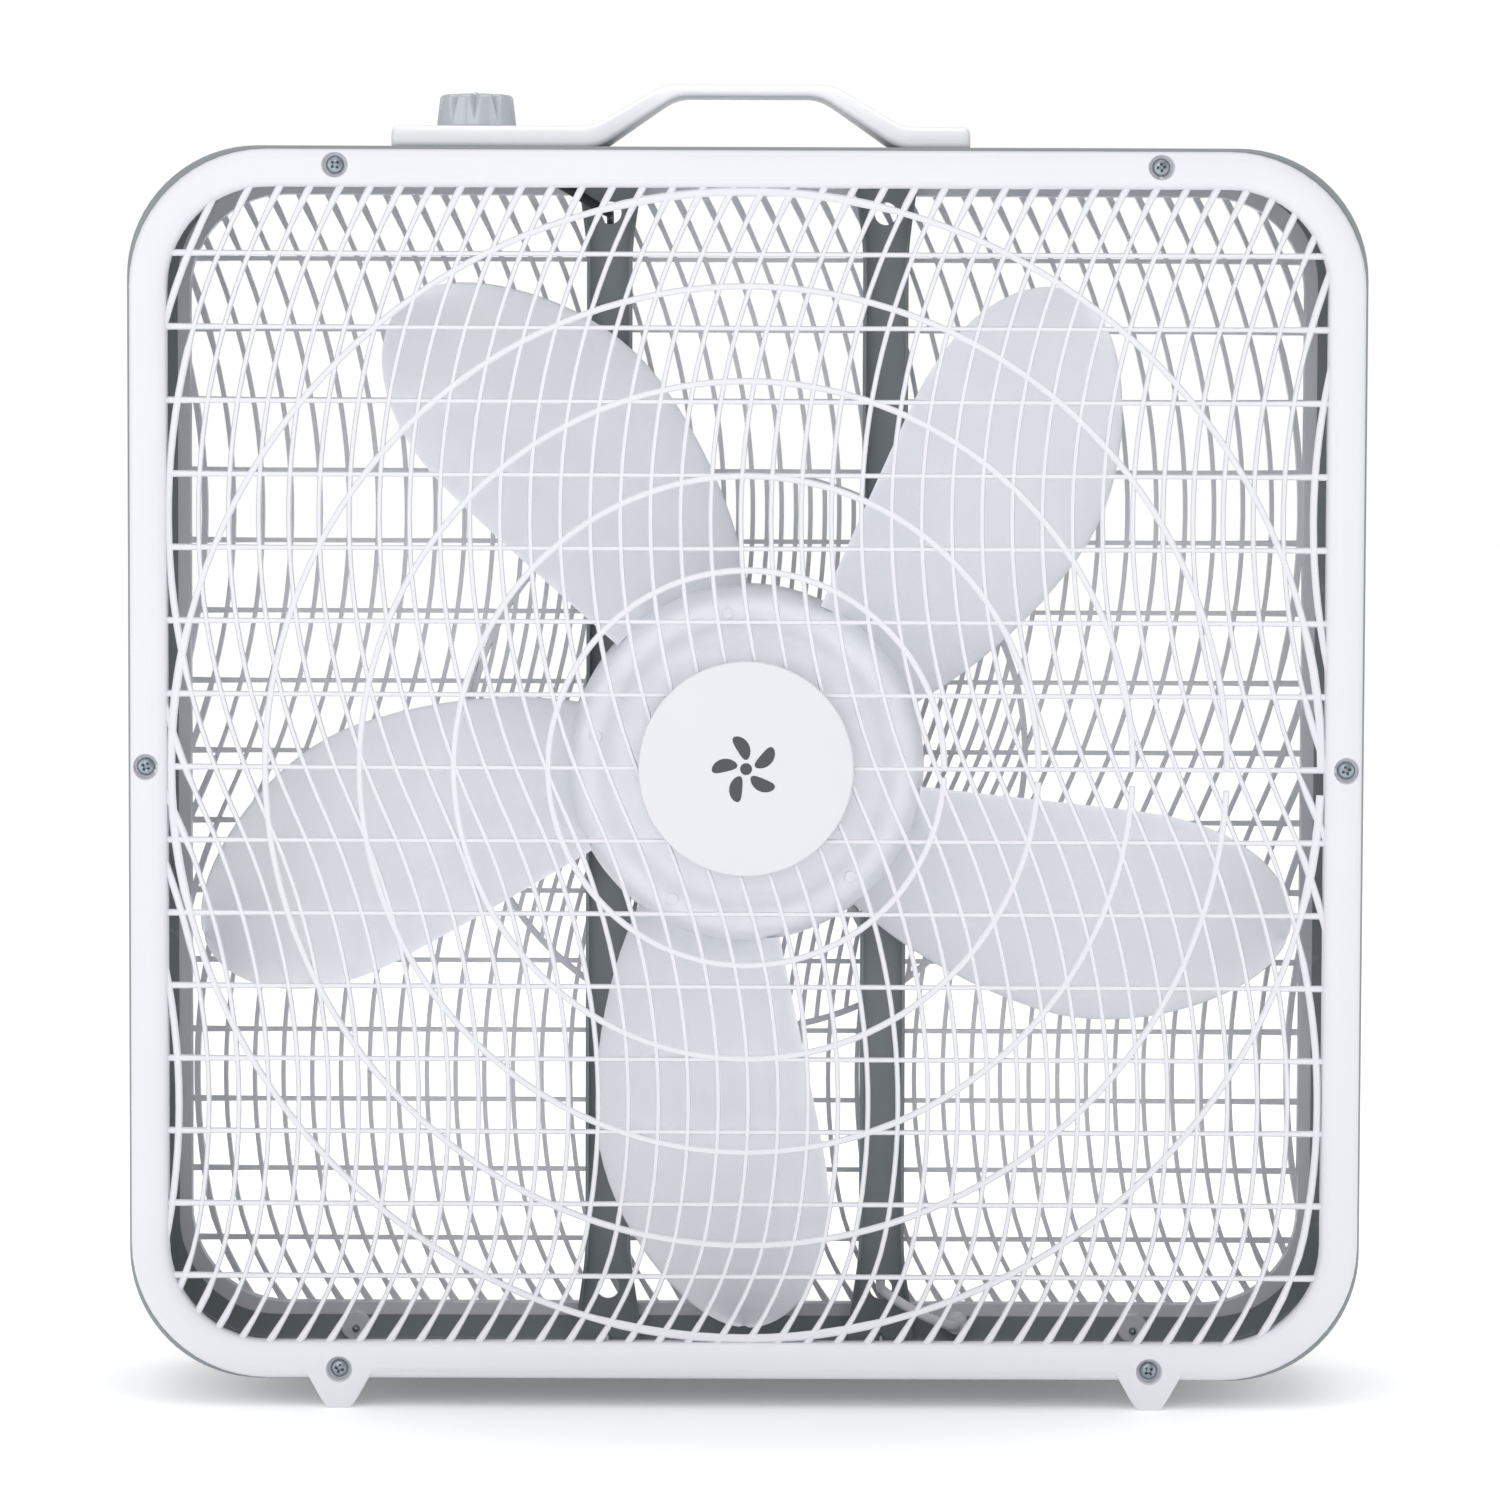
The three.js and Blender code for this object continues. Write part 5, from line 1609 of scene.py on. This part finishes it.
@dataclass
class Impeller:
    """The five-blade impeller with its bell-shaped hub."""

    blades: int = 5
    tip_radius: float = 249 * MM
    hub_radius: float = 77 * MM
    wall: float = 2.4 * MM
    thickness: float = 2.1 * MM
    middle_y: float = -7 * MM
    root_pitch: float = 38.0
    tip_pitch: float = 20.0
    camber: float = 5 * MM
    depth: float = 50 * MM
    shoulder: float = 0.13
    boss: float = 9 * MM
    lead_root: float = 36.5
    lead_fall: float = 25.0
    trail_root: float = 11.2
    trail_rise: float = 2.0
    trail_fall: float = 2.5
    tip_start: float = 0.55
    root_swell: float = 1.6
    root_fade: float = 26.0
    rows: int = 30
    columns: int = 22

    def edges(self, share: float) -> tuple[float, float]:
        """A blade's two edges, in degrees from its tip line.

        Args:
            share: How far out, from 0 at the hub to 1 at the tip.

        Returns:
            The leading and the trailing edge.
        """
        closing = 1.0
        if share > self.tip_start:
            past = (share - self.tip_start) / (1 - self.tip_start)
            closing = math.sqrt(max(0.0, 1 - past**2))
        leading = -(self.lead_root - self.lead_fall * share) * closing
        trailing = (self.trail_root + self.trail_rise * share - self.trail_fall * share**2) * closing
        return leading, trailing

    def blade_point(self, turn: float, share: float, across: float, skin_side: int) -> Vector:
        """A point of a blade's front or back skin.

        Args:
            turn: The blade's tip line, in radians.
            share: How far out, from 0 to 1.
            across: How far over the chord, from 0 to 1.
            skin_side: -1 for the front skin and 1 for the back one.

        Returns:
            The point in the frame.
        """
        inner = self.hub_radius - 0.5 * self.wall
        radius = inner + share * (self.tip_radius - inner)
        leading, trailing = self.edges(share)
        angle = math.radians(leading + across * (trailing - leading))
        middle = math.radians((leading + trailing) / 2)
        slope = math.tan(math.radians(self.root_pitch + share * (self.tip_pitch - self.root_pitch)))
        y = self.middle_y - slope * radius * (angle - middle)
        y += self.camber * math.sin(math.pi * across) * (1 - 0.3 * share)
        root = 1 + self.root_swell * math.exp(-share * self.root_fade)
        rim = (1 - abs(2 * across - 1) ** 7) ** 0.5 * (1 - max(0.0, share) ** 40) ** 0.5
        y += skin_side * self.thickness / 2 * root * (0.12 + 0.88 * rim)
        return Vector(
            (
                self.axis.x + radius * math.cos(turn + angle),
                y,
                self.axis.z + radius * math.sin(turn + angle),
            )
        )

    def blade(self, skin: Skin, turn: float) -> None:
        """Adds one blade as a closed shell.

        Args:
            skin: The mesh that it joins.
            turn: The angle of its tip line, in radians.
        """
        loops = []
        for row in range(self.rows + 1):
            share = min(math.sin(math.pi / 2 * row / self.rows), 0.9995)
            steps = [0.5 - 0.5 * math.cos(math.pi * c / self.columns) for c in range(self.columns + 1)]
            front = [self.blade_point(turn, share, across, -1) for across in steps]
            back = [self.blade_point(turn, share, across, 1) for across in reversed(steps)]
            loops.append(front + back)
        skin.loft(loops)

    def build(self, palette: Palette) -> None:
        """Builds and dresses the impeller.

        Args:
            palette: The finishes.
        """
        extent = Extent.of("fan_impeller")
        shaft = Extent.of("motor_shaft")
        self.axis = shaft.middle
        front = extent.low.y + 0.2 * MM
        rear = front + self.depth
        r = self.hub_radius
        boss = self.boss
        profile = [(0.0, front), (0.58 * r, front)]
        for step in range(13):
            share = step / 12
            radius = (0.6 + (0.4 - self.shoulder) * share) * r
            dip = 3.4 * MM * 0.5 * (1 - math.cos(math.tau * share))
            profile.append((radius, front + 0.3 * MM + share * 1.2 * MM + dip))
        for step in range(1, 11):
            bow = math.pi / 2 * step / 10
            radius = (1 - self.shoulder) * r + self.shoulder * r * math.sin(bow)
            profile.append((radius, front + 1.5 * MM + 13 * MM * (1 - math.cos(bow))))
        profile += [
            (r, rear - 0.8 * MM), (r - 0.5 * MM, rear), (r - self.wall + 0.4 * MM, rear),
            (r - self.wall, rear - 0.8 * MM), (r - self.wall, front + 16 * MM),
            (0.9 * r, front + 8 * MM), (0.6 * r, front + 5 * MM), (boss, front + 4 * MM),
            (boss, front + 28 * MM), (boss - 0.5 * MM, front + 28.6 * MM),
            (4.4 * MM, front + 28.6 * MM), (4.4 * MM, front + 7 * MM), (0.0, front + 7 * MM),
        ]
        skin = Skin().turned(profile, about_y(self.axis), 120)
        for number in range(self.blades):
            self.blade(skin, -math.pi / 2 + number * math.tau / self.blades)
        for number in range(self.blades):
            turn = math.tau * (number + 0.35) / self.blades
            radius = 0.86 * r
            spot = self.axis + Vector((radius * math.cos(turn), 0, radius * math.sin(turn)))
            ring = ((1.9 * MM, front + 2.2 * MM), (2.3 * MM, front + 1.2 * MM),
                    (2.7 * MM, front + 1.2 * MM), (3.1 * MM, front + 2.2 * MM))
            skin.turned(ring, about_y(spot), 20, ring=True)
        impeller = skin.object("impeller_moulding", 42)
        settle(impeller, palette.blade, "blade_plastic", Body.ROTOR, "fan_impeller")


# ---- Screws --------------------------------------------------------------------------------


@dataclass
class Screws:
    """Cross-recessed pan-head screws, one mesh for each length."""

    head: float = 7.6 * MM
    head_height: float = 2.2 * MM
    shank: float = 3.6 * MM
    pitch: float = 1.3 * MM

    def shape(self, length: float) -> bpy.types.Mesh:
        """Makes a screw with its head's face at the origin, pointing along +Z.

        Args:
            length: From the head's face to the point.

        Returns:
            The screw's mesh.
        """
        radius = self.head / 2
        profile = [(0.0, 0.0)]
        for step in range(1, 8):
            bow = math.pi / 2 * step / 7
            profile.append((radius * math.sin(bow), 0.62 * self.head_height * (1 - math.cos(bow))))
        profile += [(radius, self.head_height), (self.shank / 2, self.head_height)]
        turns = int((length - self.head_height - 3 * MM) / self.pitch)
        for turn in range(max(turns, 0)):
            z = self.head_height + 0.8 * MM + turn * self.pitch
            profile += [(self.shank / 2 - 0.45 * MM, z), (self.shank / 2, z + self.pitch / 2)]
        profile += [(self.shank / 2 - 0.5 * MM, length - 1.6 * MM), (0.0, length)]
        screw = Skin().turned(profile, about_z(Vector()), 28).object("screw", 30)
        blades = []
        for along_x in (True, False):
            loops = []
            for reach, half, z in ((2.5 * MM, 0.62 * MM, -0.4 * MM), (0.9 * MM, 0.4 * MM, 1.7 * MM)):
                sides = (reach, half) if along_x else (half, reach)
                loops.append([Vector((sx * sides[0], sy * sides[1], z))
                              for sx, sy in ((1, 1), (-1, 1), (-1, -1), (1, -1))])
            blades.append(Skin().loft(loops).object("driver"))
        cut(screw, blades)
        mesh = screw.data
        bpy.data.objects.remove(screw)
        return mesh

    def build(self, palette: Palette) -> None:
        """Puts a screw at the place of every packed one.

        Args:
            palette: The finishes.
        """
        axes = {
            "front_screw_": (6, Vector((0, 1, 0))), "rear_screw_": (6, Vector((0, -1, 0))),
            "bracket_screw_": (4, Vector((0, -1, 0))), "handle_screw_": (2, Vector((0, 0, 1))),
        }
        shapes: dict[int, bpy.types.Mesh] = {}
        for name, (count, heading) in axes.items():
            for number in range(1, count + 1):
                self.place(f"{name}{number}", heading, number, shapes, palette)
        for number in range(1, 5):
            heading = Vector((0, 0, 1 if number % 2 else -1))
            self.place(f"strap_screw_{number}", heading, number, shapes, palette)

    def place(
        self,
        node: str,
        heading: Vector,
        number: int,
        shapes: dict[int, bpy.types.Mesh],
        palette: Palette,
    ) -> None:
        """Puts one screw in place of its node.

        Args:
            node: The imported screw.
            heading: The way it points.
            number: Its number, which sets how far its cross is turned.
            shapes: The meshes made so far, by length in tenths of a millimetre.
            palette: The finishes.
        """
        extent = Extent.of(node)
        length = abs(extent.size.dot(heading))
        key = round(length / MM * 10)
        if key not in shapes:
            shapes[key] = self.shape(length)
        screw = bpy.data.objects.new(node + "_pan_head", shapes[key])
        bpy.context.scene.collection.objects.link(screw)
        face = extent.middle - heading * length / 2
        twist = Matrix.Rotation(math.radians(37 * number + 11), 4, "Z")
        screw.matrix_world = (
            Matrix.Translation(face) @ heading.to_track_quat("Z", "Y").to_matrix().to_4x4() @ twist
        )
        settle(screw, palette.zinc, "zinc_steel", Body.HOUSING, node)


# ---- Motor ---------------------------------------------------------------------------------


@dataclass
class Motor:
    """The motor's end shields and windings."""

    wall: float = 2 * MM
    vents: int = 8

    def shield(self, node: str, inward: int, palette: Palette) -> None:
        """Builds one cast end shield.

        Args:
            node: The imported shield.
            inward: 1 if its open side faces +Y, and -1 if it faces -Y.
            palette: The finishes.
        """
        extent = Extent.of(node)
        face = extent.low.y if inward > 0 else extent.high.y
        deep = extent.size.y
        r = extent.size.x / 2
        stations = (
            (5.0 * MM, 0.3 * MM), (10 * MM, 0.0), (12.5 * MM, 0.6 * MM), (13.5 * MM, 1.6 * MM),
            (r - 7 * MM, 2.4 * MM), (r - 3 * MM, 3.4 * MM), (r - 0.8 * MM, 5.4 * MM), (r, 8 * MM),
            (r, deep - 0.3 * MM), (r - 0.3 * MM, deep), (r - self.wall, deep),
            (r - self.wall, 7.4 * MM), (r - 4.6 * MM, 5.2 * MM), (15 * MM, 3.8 * MM),
            (11 * MM, 9 * MM), (8.4 * MM, 9 * MM), (8.4 * MM, 2 * MM), (5.0 * MM, 2 * MM),
        )
        profile = [(radius, face + inward * rise) for radius, rise in stations]
        shield = Skin().turned(profile, about_y(extent.middle), 96, ring=True).object(node + "_casting")
        slots = []
        for number in range(self.vents):
            turn = math.tau * (number + 0.5) / self.vents
            spot = extent.middle + Vector((math.cos(turn), 0, math.sin(turn))) * (r * 0.62)
            outline = rounded_square(5.5 * MM, 2.1 * MM, 2 * MM, 5)
            spin = Matrix.Rotation(-turn, 3, "Y")
            loops = []
            for y in (face - inward * 2 * MM, face + inward * 7 * MM):
                loops.append(
                    [Vector((spot.x, y, spot.z)) + spin @ Vector((u, 0, v)) for u, v in outline]
                )
            slots.append(Skin().loft(loops).object("vent"))
        cut(shield, slots)
        settle(shield, palette.cast, "cast_metal", Body.HOUSING, node)

    def coil(self, node: str, palette: Palette) -> None:
        """Builds one rounded winding round its pole.

        Args:
            node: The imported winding.
            palette: The finishes.
        """
        extent = Extent.of(node)
        size, middle = extent.size, extent.middle
        upright = size.z < size.x
        across = size.x if upright else size.z
        thick = size.z if upright else size.x
        loops = []
        for step in range(40):
            turn = math.tau * step / 40
            bulge = [math.copysign(abs(math.cos(turn)) ** 0.5, math.cos(turn)),
                     math.copysign(abs(math.sin(turn)) ** 0.5, math.sin(turn))]
            ring = []
            for spoke in range(12):
                lean = math.tau * spoke / 12
                inset = 1.9 * MM * (1 - math.cos(lean))
                lift = (thick / 2 - 0.2 * MM) * math.sin(lean)
                u = bulge[0] * (across / 2 - 0.1 * MM - inset)
                y = bulge[1] * (size.y / 2 - 0.1 * MM - inset)
                offset = Vector((u, y, lift)) if upright else Vector((lift, y, u))
                ring.append(middle + offset)
            loops.append(ring)
        coil = Skin().loft(loops, ring=True).object(node + "_winding", 60)
        settle(coil, palette.copper, "copper", Body.HOUSING, node)

    def build(self, palette: Palette) -> None:
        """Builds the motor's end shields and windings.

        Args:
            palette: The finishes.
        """
        self.shield("motor_front_shield", 1, palette)
        self.shield("motor_rear_shield", -1, palette)
        for number in range(1, 5):
            self.coil(f"coil_{number}", palette)


# ---- Cords ---------------------------------------------------------------------------------


@dataclass
class Cord:
    """The flat mains cord: its lead from the strain relief, its hank, and its tail."""

    width: float = 6 * MM
    thickness: float = 3.4 * MM
    hank_x: float = -8 * MM
    hank_y: float = 83 * MM
    half_length: float = 66 * MM
    swell: float = 34.5 * MM
    pinch: float = 0.86
    column_step: float = 6.4 * MM
    layer_step: float = 3.6 * MM
    hank_base: float = 1.4 * MM
    columns: tuple[int, ...] = (1, 0, 0, 1, 0, 1)
    layers: tuple[int, ...] = (0, 0, 1, 1, 2, 2)
    points_per_turn: int = 96
    length: float = 1.83

    lead_mm: tuple[tuple[float, float, float], ...] = (
        (95, 70, 19.5),
        (95, 74.4, 19.5),
        (95, 80, 19.3),
        (94.5, 86, 18.2),
        (92, 93, 15.6),
        (87.5, 98.6, 11.6),
        (81, 102.2, 7.7),
        (74, 103.7, 5),
        (68, 103.9, 3.7),
        (62.2, 103.8, 3.3),
    )
    tail_mm: tuple[tuple[float, float, float], ...] = (
        (-78.4, 103.6, 10.3),
        (-86, 102.6, 9.8),
        (-94, 100.8, 9.2),
        (-101, 99, 8.7),
        (-108, 98.1, 8.4),
        (-117.5, 98, 8.3),
    )

    def hank_point(self, turn: float, column: float, layer: float) -> Vector:
        """A point of the hank.

        Args:
            turn: The angle round the oval, in radians.
            column: How many cords out from the inner turns.
            layer: How many cords up from the lowest turns.

        Returns:
            The cord's centre there.
        """
        sine, cosine = math.sin(turn), math.cos(turn)
        x = self.half_length * cosine
        y = self.swell * sine * (1 - self.pinch * sine**2)
        dx = -self.half_length * sine
        dy = self.swell * cosine * (1 - 3 * self.pinch * sine**2)
        speed = math.hypot(dx, dy)
        out = column * self.column_step
        z = self.hank_base + self.thickness / 2 + 0.1 * MM + layer * self.layer_step
        return Vector(
            (self.hank_x + x + out * dy / speed, self.hank_y + y - out * dx / speed, z)
        )

    def hank(self) -> list[Vector]:
        """Winds the hank.

        Returns:
            Its points, from where the lead joins to where the tail leaves.
        """
        start, end = math.radians(33), math.radians(147)
        whole = math.tau * (len(self.columns) - 1)
        span = whole + end - start
        count = int(span / math.tau * self.points_per_turn)
        points = []
        for index in range(count + 1):
            turn = start + span * index / count
            place = (turn - math.radians(270)) / math.tau
            lap = min(max(math.floor(place) + 1, 0), len(self.columns) - 1)
            part = place - math.floor(place)
            blend = min(1.0, max(0.0, (part - 0.06) / 0.38)) if lap else 1.0
            blend = blend * blend * (3 - 2 * blend)
            before = max(lap - 1, 0)
            column = self.columns[before] + blend * (self.columns[lap] - self.columns[before])
            layer = self.layers[before] + blend * (self.layers[lap] - self.layers[before])
            points.append(self.hank_point(turn, column, layer))
        return points

    @staticmethod
    def smoothed(points: Sequence[Vector], spacing: float) -> list[Vector]:
        """Runs a smooth curve through points, evenly spaced.

        Args:
            points: The points that it passes through.
            spacing: The distance between the points handed back.

        Returns:
            The curve's points.
        """
        padded = [2 * points[0] - points[1], *points, 2 * points[-1] - points[-2]]
        fine = []
        for one, two, three, four in zip(padded, padded[1:], padded[2:], padded[3:]):
            for step in range(12):
                t = step / 12
                fine.append(
                    0.5
                    * (
                        2 * two
                        + (three - one) * t
                        + (2 * one - 5 * two + 4 * three - four) * t**2
                        + (3 * two - one - 3 * three + four) * t**3
                    )
                )
        fine.append(Vector(points[-1]))
        even, carried = [fine[0]], 0.0
        for before, after in zip(fine, fine[1:]):
            carried += (after - before).length
            if carried >= spacing:
                even.append(after)
                carried = 0.0
        even.append(fine[-1])
        return even

    def section(self) -> list[Point2]:
        """Draws the two-core outline, pinched along its middle.

        Returns:
            Its points: across and up.
        """
        points = []
        for step in range(20):
            turn = math.tau * step / 20
            across = math.copysign(abs(math.cos(turn)) ** 0.8, math.cos(turn)) * self.width / 2
            dip = 0.35 * MM * math.exp(-((across / (0.9 * MM)) ** 2))
            up = math.sin(turn) * (self.thickness / 2 - dip)
            points.append((across, up))
        return points

    def tube(self, skin: Skin, path: Sequence[Vector], section: Sequence[Point2]) -> None:
        """Sweeps a section along a path, with its width kept level.

        Args:
            skin: The mesh that it joins.
            path: The centre's points.
            section: The outline: across and up.
        """
        loops = []
        for index, point in enumerate(path):
            before, after = path[max(index - 1, 0)], path[min(index + 1, len(path) - 1)]
            run = (after - before).normalized()
            side = Vector((0, 0, 1)).cross(run)
            side = side.normalized() if side.length > 0.05 else Vector((1, 0, 0))
            up = run.cross(side)
            loops.append([point + side * across + up * rise for across, rise in section])
        skin.loft(loops)

    def build(self, palette: Palette) -> None:
        """Args:
            palette: The finishes.
        """
        lead = [Vector(point) * MM for point in self.lead_mm]
        tail = [Vector(point) * MM for point in self.tail_mm]
        route = self.smoothed([*lead, *self.hank()[2:-2], *tail], 2.2 * MM)
        skin = Skin()
        self.tube(skin, route, self.section())
        cord = skin.object("flat_cord", 60)
        settle(cord, palette.vinyl, "white_vinyl", Body.HOUSING, "mains_cord", "cord_hank", "cord_tail")
        measured = sum((b - a).length for a, b in zip(route, route[1:]))
        LOG.info("the cord is %.3f m long", measured)
        relief = self.relief(palette)
        tie = self.tie(palette)
        plug, prongs = self.plug(palette)
        leaving = Extent.of("strain_relief")

    def relief(self, palette: Palette) -> bpy.types.Object:
        """Builds the tapered, grooved strain relief.

        Args:
            palette: The finishes.

        Returns:
            The strain relief.
        """
        extent = Extent.of("strain_relief")
        inner, rear = extent.low.y, extent.high.y
        flange = rear - 17.5 * MM
        profile = [
            (0.0, inner), (4.0 * MM, inner), (5.4 * MM, inner + 3.2 * MM), (5.4 * MM, inner + 5.3 * MM),
            (4.5 * MM, inner + 5.3 * MM), (4.5 * MM, flange - 0.6 * MM), (6.2 * MM, flange - 0.5 * MM),
            (6.2 * MM, flange + 0.6 * MM), (5.6 * MM, flange + 1.2 * MM), (4.6 * MM, flange + 1.4 * MM),
        ]
        start, count = flange + 2.4 * MM, 6
        for number in range(count):
            share = number / count
            radius = 4.5 * MM - share * 1.1 * MM
            y = start + number * (rear - start) / count
            pitch = (rear - start) / count
            profile += [
                (radius, y), (radius, y + 0.55 * pitch), (radius - 0.8 * MM, y + 0.62 * pitch),
                (radius - 0.8 * MM, y + 0.92 * pitch),
            ]
        profile += [(3.3 * MM, rear - 0.1 * MM), (0.0, rear)]
        piece = Skin().turned(profile, about_y(extent.middle), 40).object("cord_gland", 30)
        return settle(piece, palette.vinyl, "white_vinyl", Body.HOUSING, "strain_relief")

    def tie(self, palette: Palette) -> bpy.types.Object:
        """Builds the wire tie, a closed band round the hank's waist.

        Args:
            palette: The finishes.

        Returns:
            The tie.
        """
        extent = Extent.of("cord_tie")
        middle, size = extent.middle, extent.size
        wall = 0.8 * MM
        outer = rounded_square(size.y / 2, size.z / 2, 3 * MM, 8)
        inner = rounded_square(size.y / 2 - wall, size.z / 2 - wall, 3 * MM - wall, 8)
        half = 2.2 * MM
        ring = [
            [Vector((middle.x - half, middle.y + u, middle.z + v)) for u, v in outer],
            [Vector((middle.x + half, middle.y + u, middle.z + v)) for u, v in outer],
            [Vector((middle.x + half, middle.y + u, middle.z + v)) for u, v in inner],
            [Vector((middle.x - half, middle.y + u, middle.z + v)) for u, v in inner],
        ]
        piece = Skin().loft(ring, ring=True).object("cord_wrap")
        return settle(piece, palette.black, "black_plastic", Body.HOUSING, "cord_tie")

    def plug(self, palette: Palette) -> tuple[bpy.types.Object, list[bpy.types.Object]]:
        """Builds the moulded plug with its grip and prongs.

        Args:
            palette: The finishes.

        Returns:
            The plug's body, and its prongs.
        """
        extent = Extent.of("plug_body")
        size, middle = extent.size, extent.middle
        loops = []
        steps = 28
        for step in range(steps + 1):
            share = step / steps
            x = extent.high.x - share * size.x
            widen = min(1.0, max(0.0, (share - 0.12) / 0.4))
            smooth = widen * widen * (3 - 2 * widen)
            half_y = 5.5 * MM + smooth * (size.y / 2 - 5.5 * MM)
            half_z = 4.6 * MM + smooth * (size.z / 2 - 4.6 * MM)
            grip = 0.5 * MM if 0.55 < share < 0.85 and step % 2 else 0.0
            end = 1.2 * MM if share in (0.0, 1.0) else 0.0
            corner = min(half_z - end, 4.5 * MM) * 0.9
            outline = rounded_square(half_y - grip - end, half_z - end, corner, 6)
            loops.append([Vector((x, middle.y + u, middle.z + v)) for u, v in outline])
        body = Skin().loft(loops).object("plug_moulding", 45)
        settle(body, palette.vinyl, "white_vinyl", Body.HOUSING, "plug_body")
        prongs = []
        for number in (1, 2):
            blade = Extent.of(f"plug_prong_{number}")
            stations = ((0.0, 1.2 * MM), (0.6 * MM, 0.5 * MM), (2.0 * MM, 0.0), (blade.size.x, 0.0))
            rings = []
            for along, inset in stations:
                outline = rounded_square(
                    blade.size.y / 2 - 0.2 * inset, blade.size.z / 2 - inset, 0.3 * MM, 3
                )
                x = blade.low.x + along
                rings.append([Vector((x, blade.middle.y + u, blade.middle.z + v)) for u, v in outline])
            prong = Skin().loft(rings).object(f"plug_contact_{number}")
            settle(prong, palette.brass, "brass", Body.HOUSING, f"plug_prong_{number}")
            prongs.append(prong)
        return body, prongs


@dataclass
class Leads:
    """The leads held inside the case."""

    width: float = 4.5 * MM
    thickness: float = 3.0 * MM

    supply_mm: tuple[tuple[float, float, float], ...] = (
        (95, 38.5, 19.5), (94.4, 33, 20), (90, 28.5, 21.8), (82, 26.8, 25), (73, 27.2, 29.5),
        (66, 30, 33.5), (62, 35, 35.6), (61, 41, 36.2), (61, 45, 39), (61, 46.2, 45),
        (61, 46.2, 80), (61, 46.2, 160), (59, 46.2, 180), (53, 46, 196), (46, 44, 210),
        (41, 40.5, 223), (36, 37.5, 234), (30.5, 35.5, 244.2),
    )
    switch_mm: tuple[tuple[float, float, float], ...] = (
        (-102.3, 0, 531.5), (-97, 1, 531.4), (-90, 6, 530.3), (-82, 14, 526.5), (-73, 23, 521.3),
        (-66, 31, 517.1), (-61.6, 36.5, 515.2), (-61, 41, 514.6), (-61, 45, 511.5), (-61, 46.2, 505),
        (-61, 46.2, 470), (-61, 46.2, 391), (-59, 46.2, 371), (-53, 46, 355), (-46, 44, 341),
        (-41, 40.5, 328), (-36, 37.5, 317), (-30.5, 35.5, 306.8),
    )

    def build(self, palette: Palette) -> None:
        """Builds and dresses the two leads.

        Args:
            palette: The finishes.
        """
        for name, route, finish, slot in (
            ("supply_lead", self.supply_mm, palette.vinyl, "white_vinyl"),
            ("switch_lead", self.switch_mm, palette.black, "black_plastic"),
        ):
            path = Cord.smoothed([Vector(point) * MM for point in route], 3 * MM)
            section = [
                (
                    math.copysign(abs(math.cos(t)) ** 0.8, math.cos(t)) * self.width / 2,
                    math.sin(t) * self.thickness / 2,
                )
                for t in (math.tau * step / 14 for step in range(14))
            ]
            skin = Skin()
            self.sweep(skin, path, section)
            settle(skin.object(name + "_flex", 60), finish, slot, Body.HOUSING, name)

    def sweep(self, skin: Skin, path: Sequence[Vector], section: Sequence[Point2]) -> None:
        """Sweeps a section along a path with a frame that twists as little as it can.

        Args:
            skin: The mesh that it joins.
            path: The centre's points.
            section: The outline: across and up.
        """
        loops = []
        side = Vector((0, 0, 1))
        for index, point in enumerate(path):
            before, after = path[max(index - 1, 0)], path[min(index + 1, len(path) - 1)]
            run = (after - before).normalized()
            side = (side - run * side.dot(run)).normalized()
            up = run.cross(side)
            loops.append([point + side * across + up * rise for across, rise in section])
        skin.loft(loops)


# ---- The whole fan -------------------------------------------------------------------------


def dress_packed(palette: Palette) -> None:
    """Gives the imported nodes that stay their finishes.

    Args:
        palette: The finishes.
    """
    kept = {
        "switch_spindle": palette.steel, "switch_body": palette.black, "motor_bracket": palette.case,
        "hub_clip": palette.steel, "motor_shaft": palette.steel, "thrust_washer": palette.bronze,
        "rotor_core": palette.core, "stator_core": palette.core, "front_bush": palette.bronze,
        "rear_bush": palette.bronze, "motor_bolt_1": palette.zinc, "motor_bolt_2": palette.zinc,
    }
    for node, material in kept.items():
        packed = bpy.data.objects[node]
        for index in range(max(1, len(packed.material_slots))):
            if packed.material_slots:
                packed.material_slots[index].material = material
            else:
                packed.data.materials.append(material)


def main() -> None:
    """Builds the fan piece by piece."""
    logging.basicConfig(level=logging.INFO, format="%(name)s: %(message)s")
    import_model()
    case = Extent.of("case_band")
    front = Extent.of("front_grille")
    Studio().build(front.low.y + 3 * MM, case.middle)
    palette = Palette()
    Cord().build(palette)
    Leads().build(palette)
    rings = tuple((84.7 + 40.3 * number) * MM for number in range(5))
    Grille("front_grille", Side.FRONT, rings).build(palette)
    Grille("rear_grille", Side.REAR, (124.6 * MM,), dense_within=124.6 * MM).build(palette)
    Badge().build(palette)
    Case().build(palette)
    for node in ("strap_left", "strap_right"):
        Strap(node).build(palette)
    Handle().build(palette)
    Knob().build(palette)
    Impeller().build(palette)
    Screws().build(palette)
    Motor().build(palette)
    dress_packed(palette)


if __name__ == "__main__":
    main()
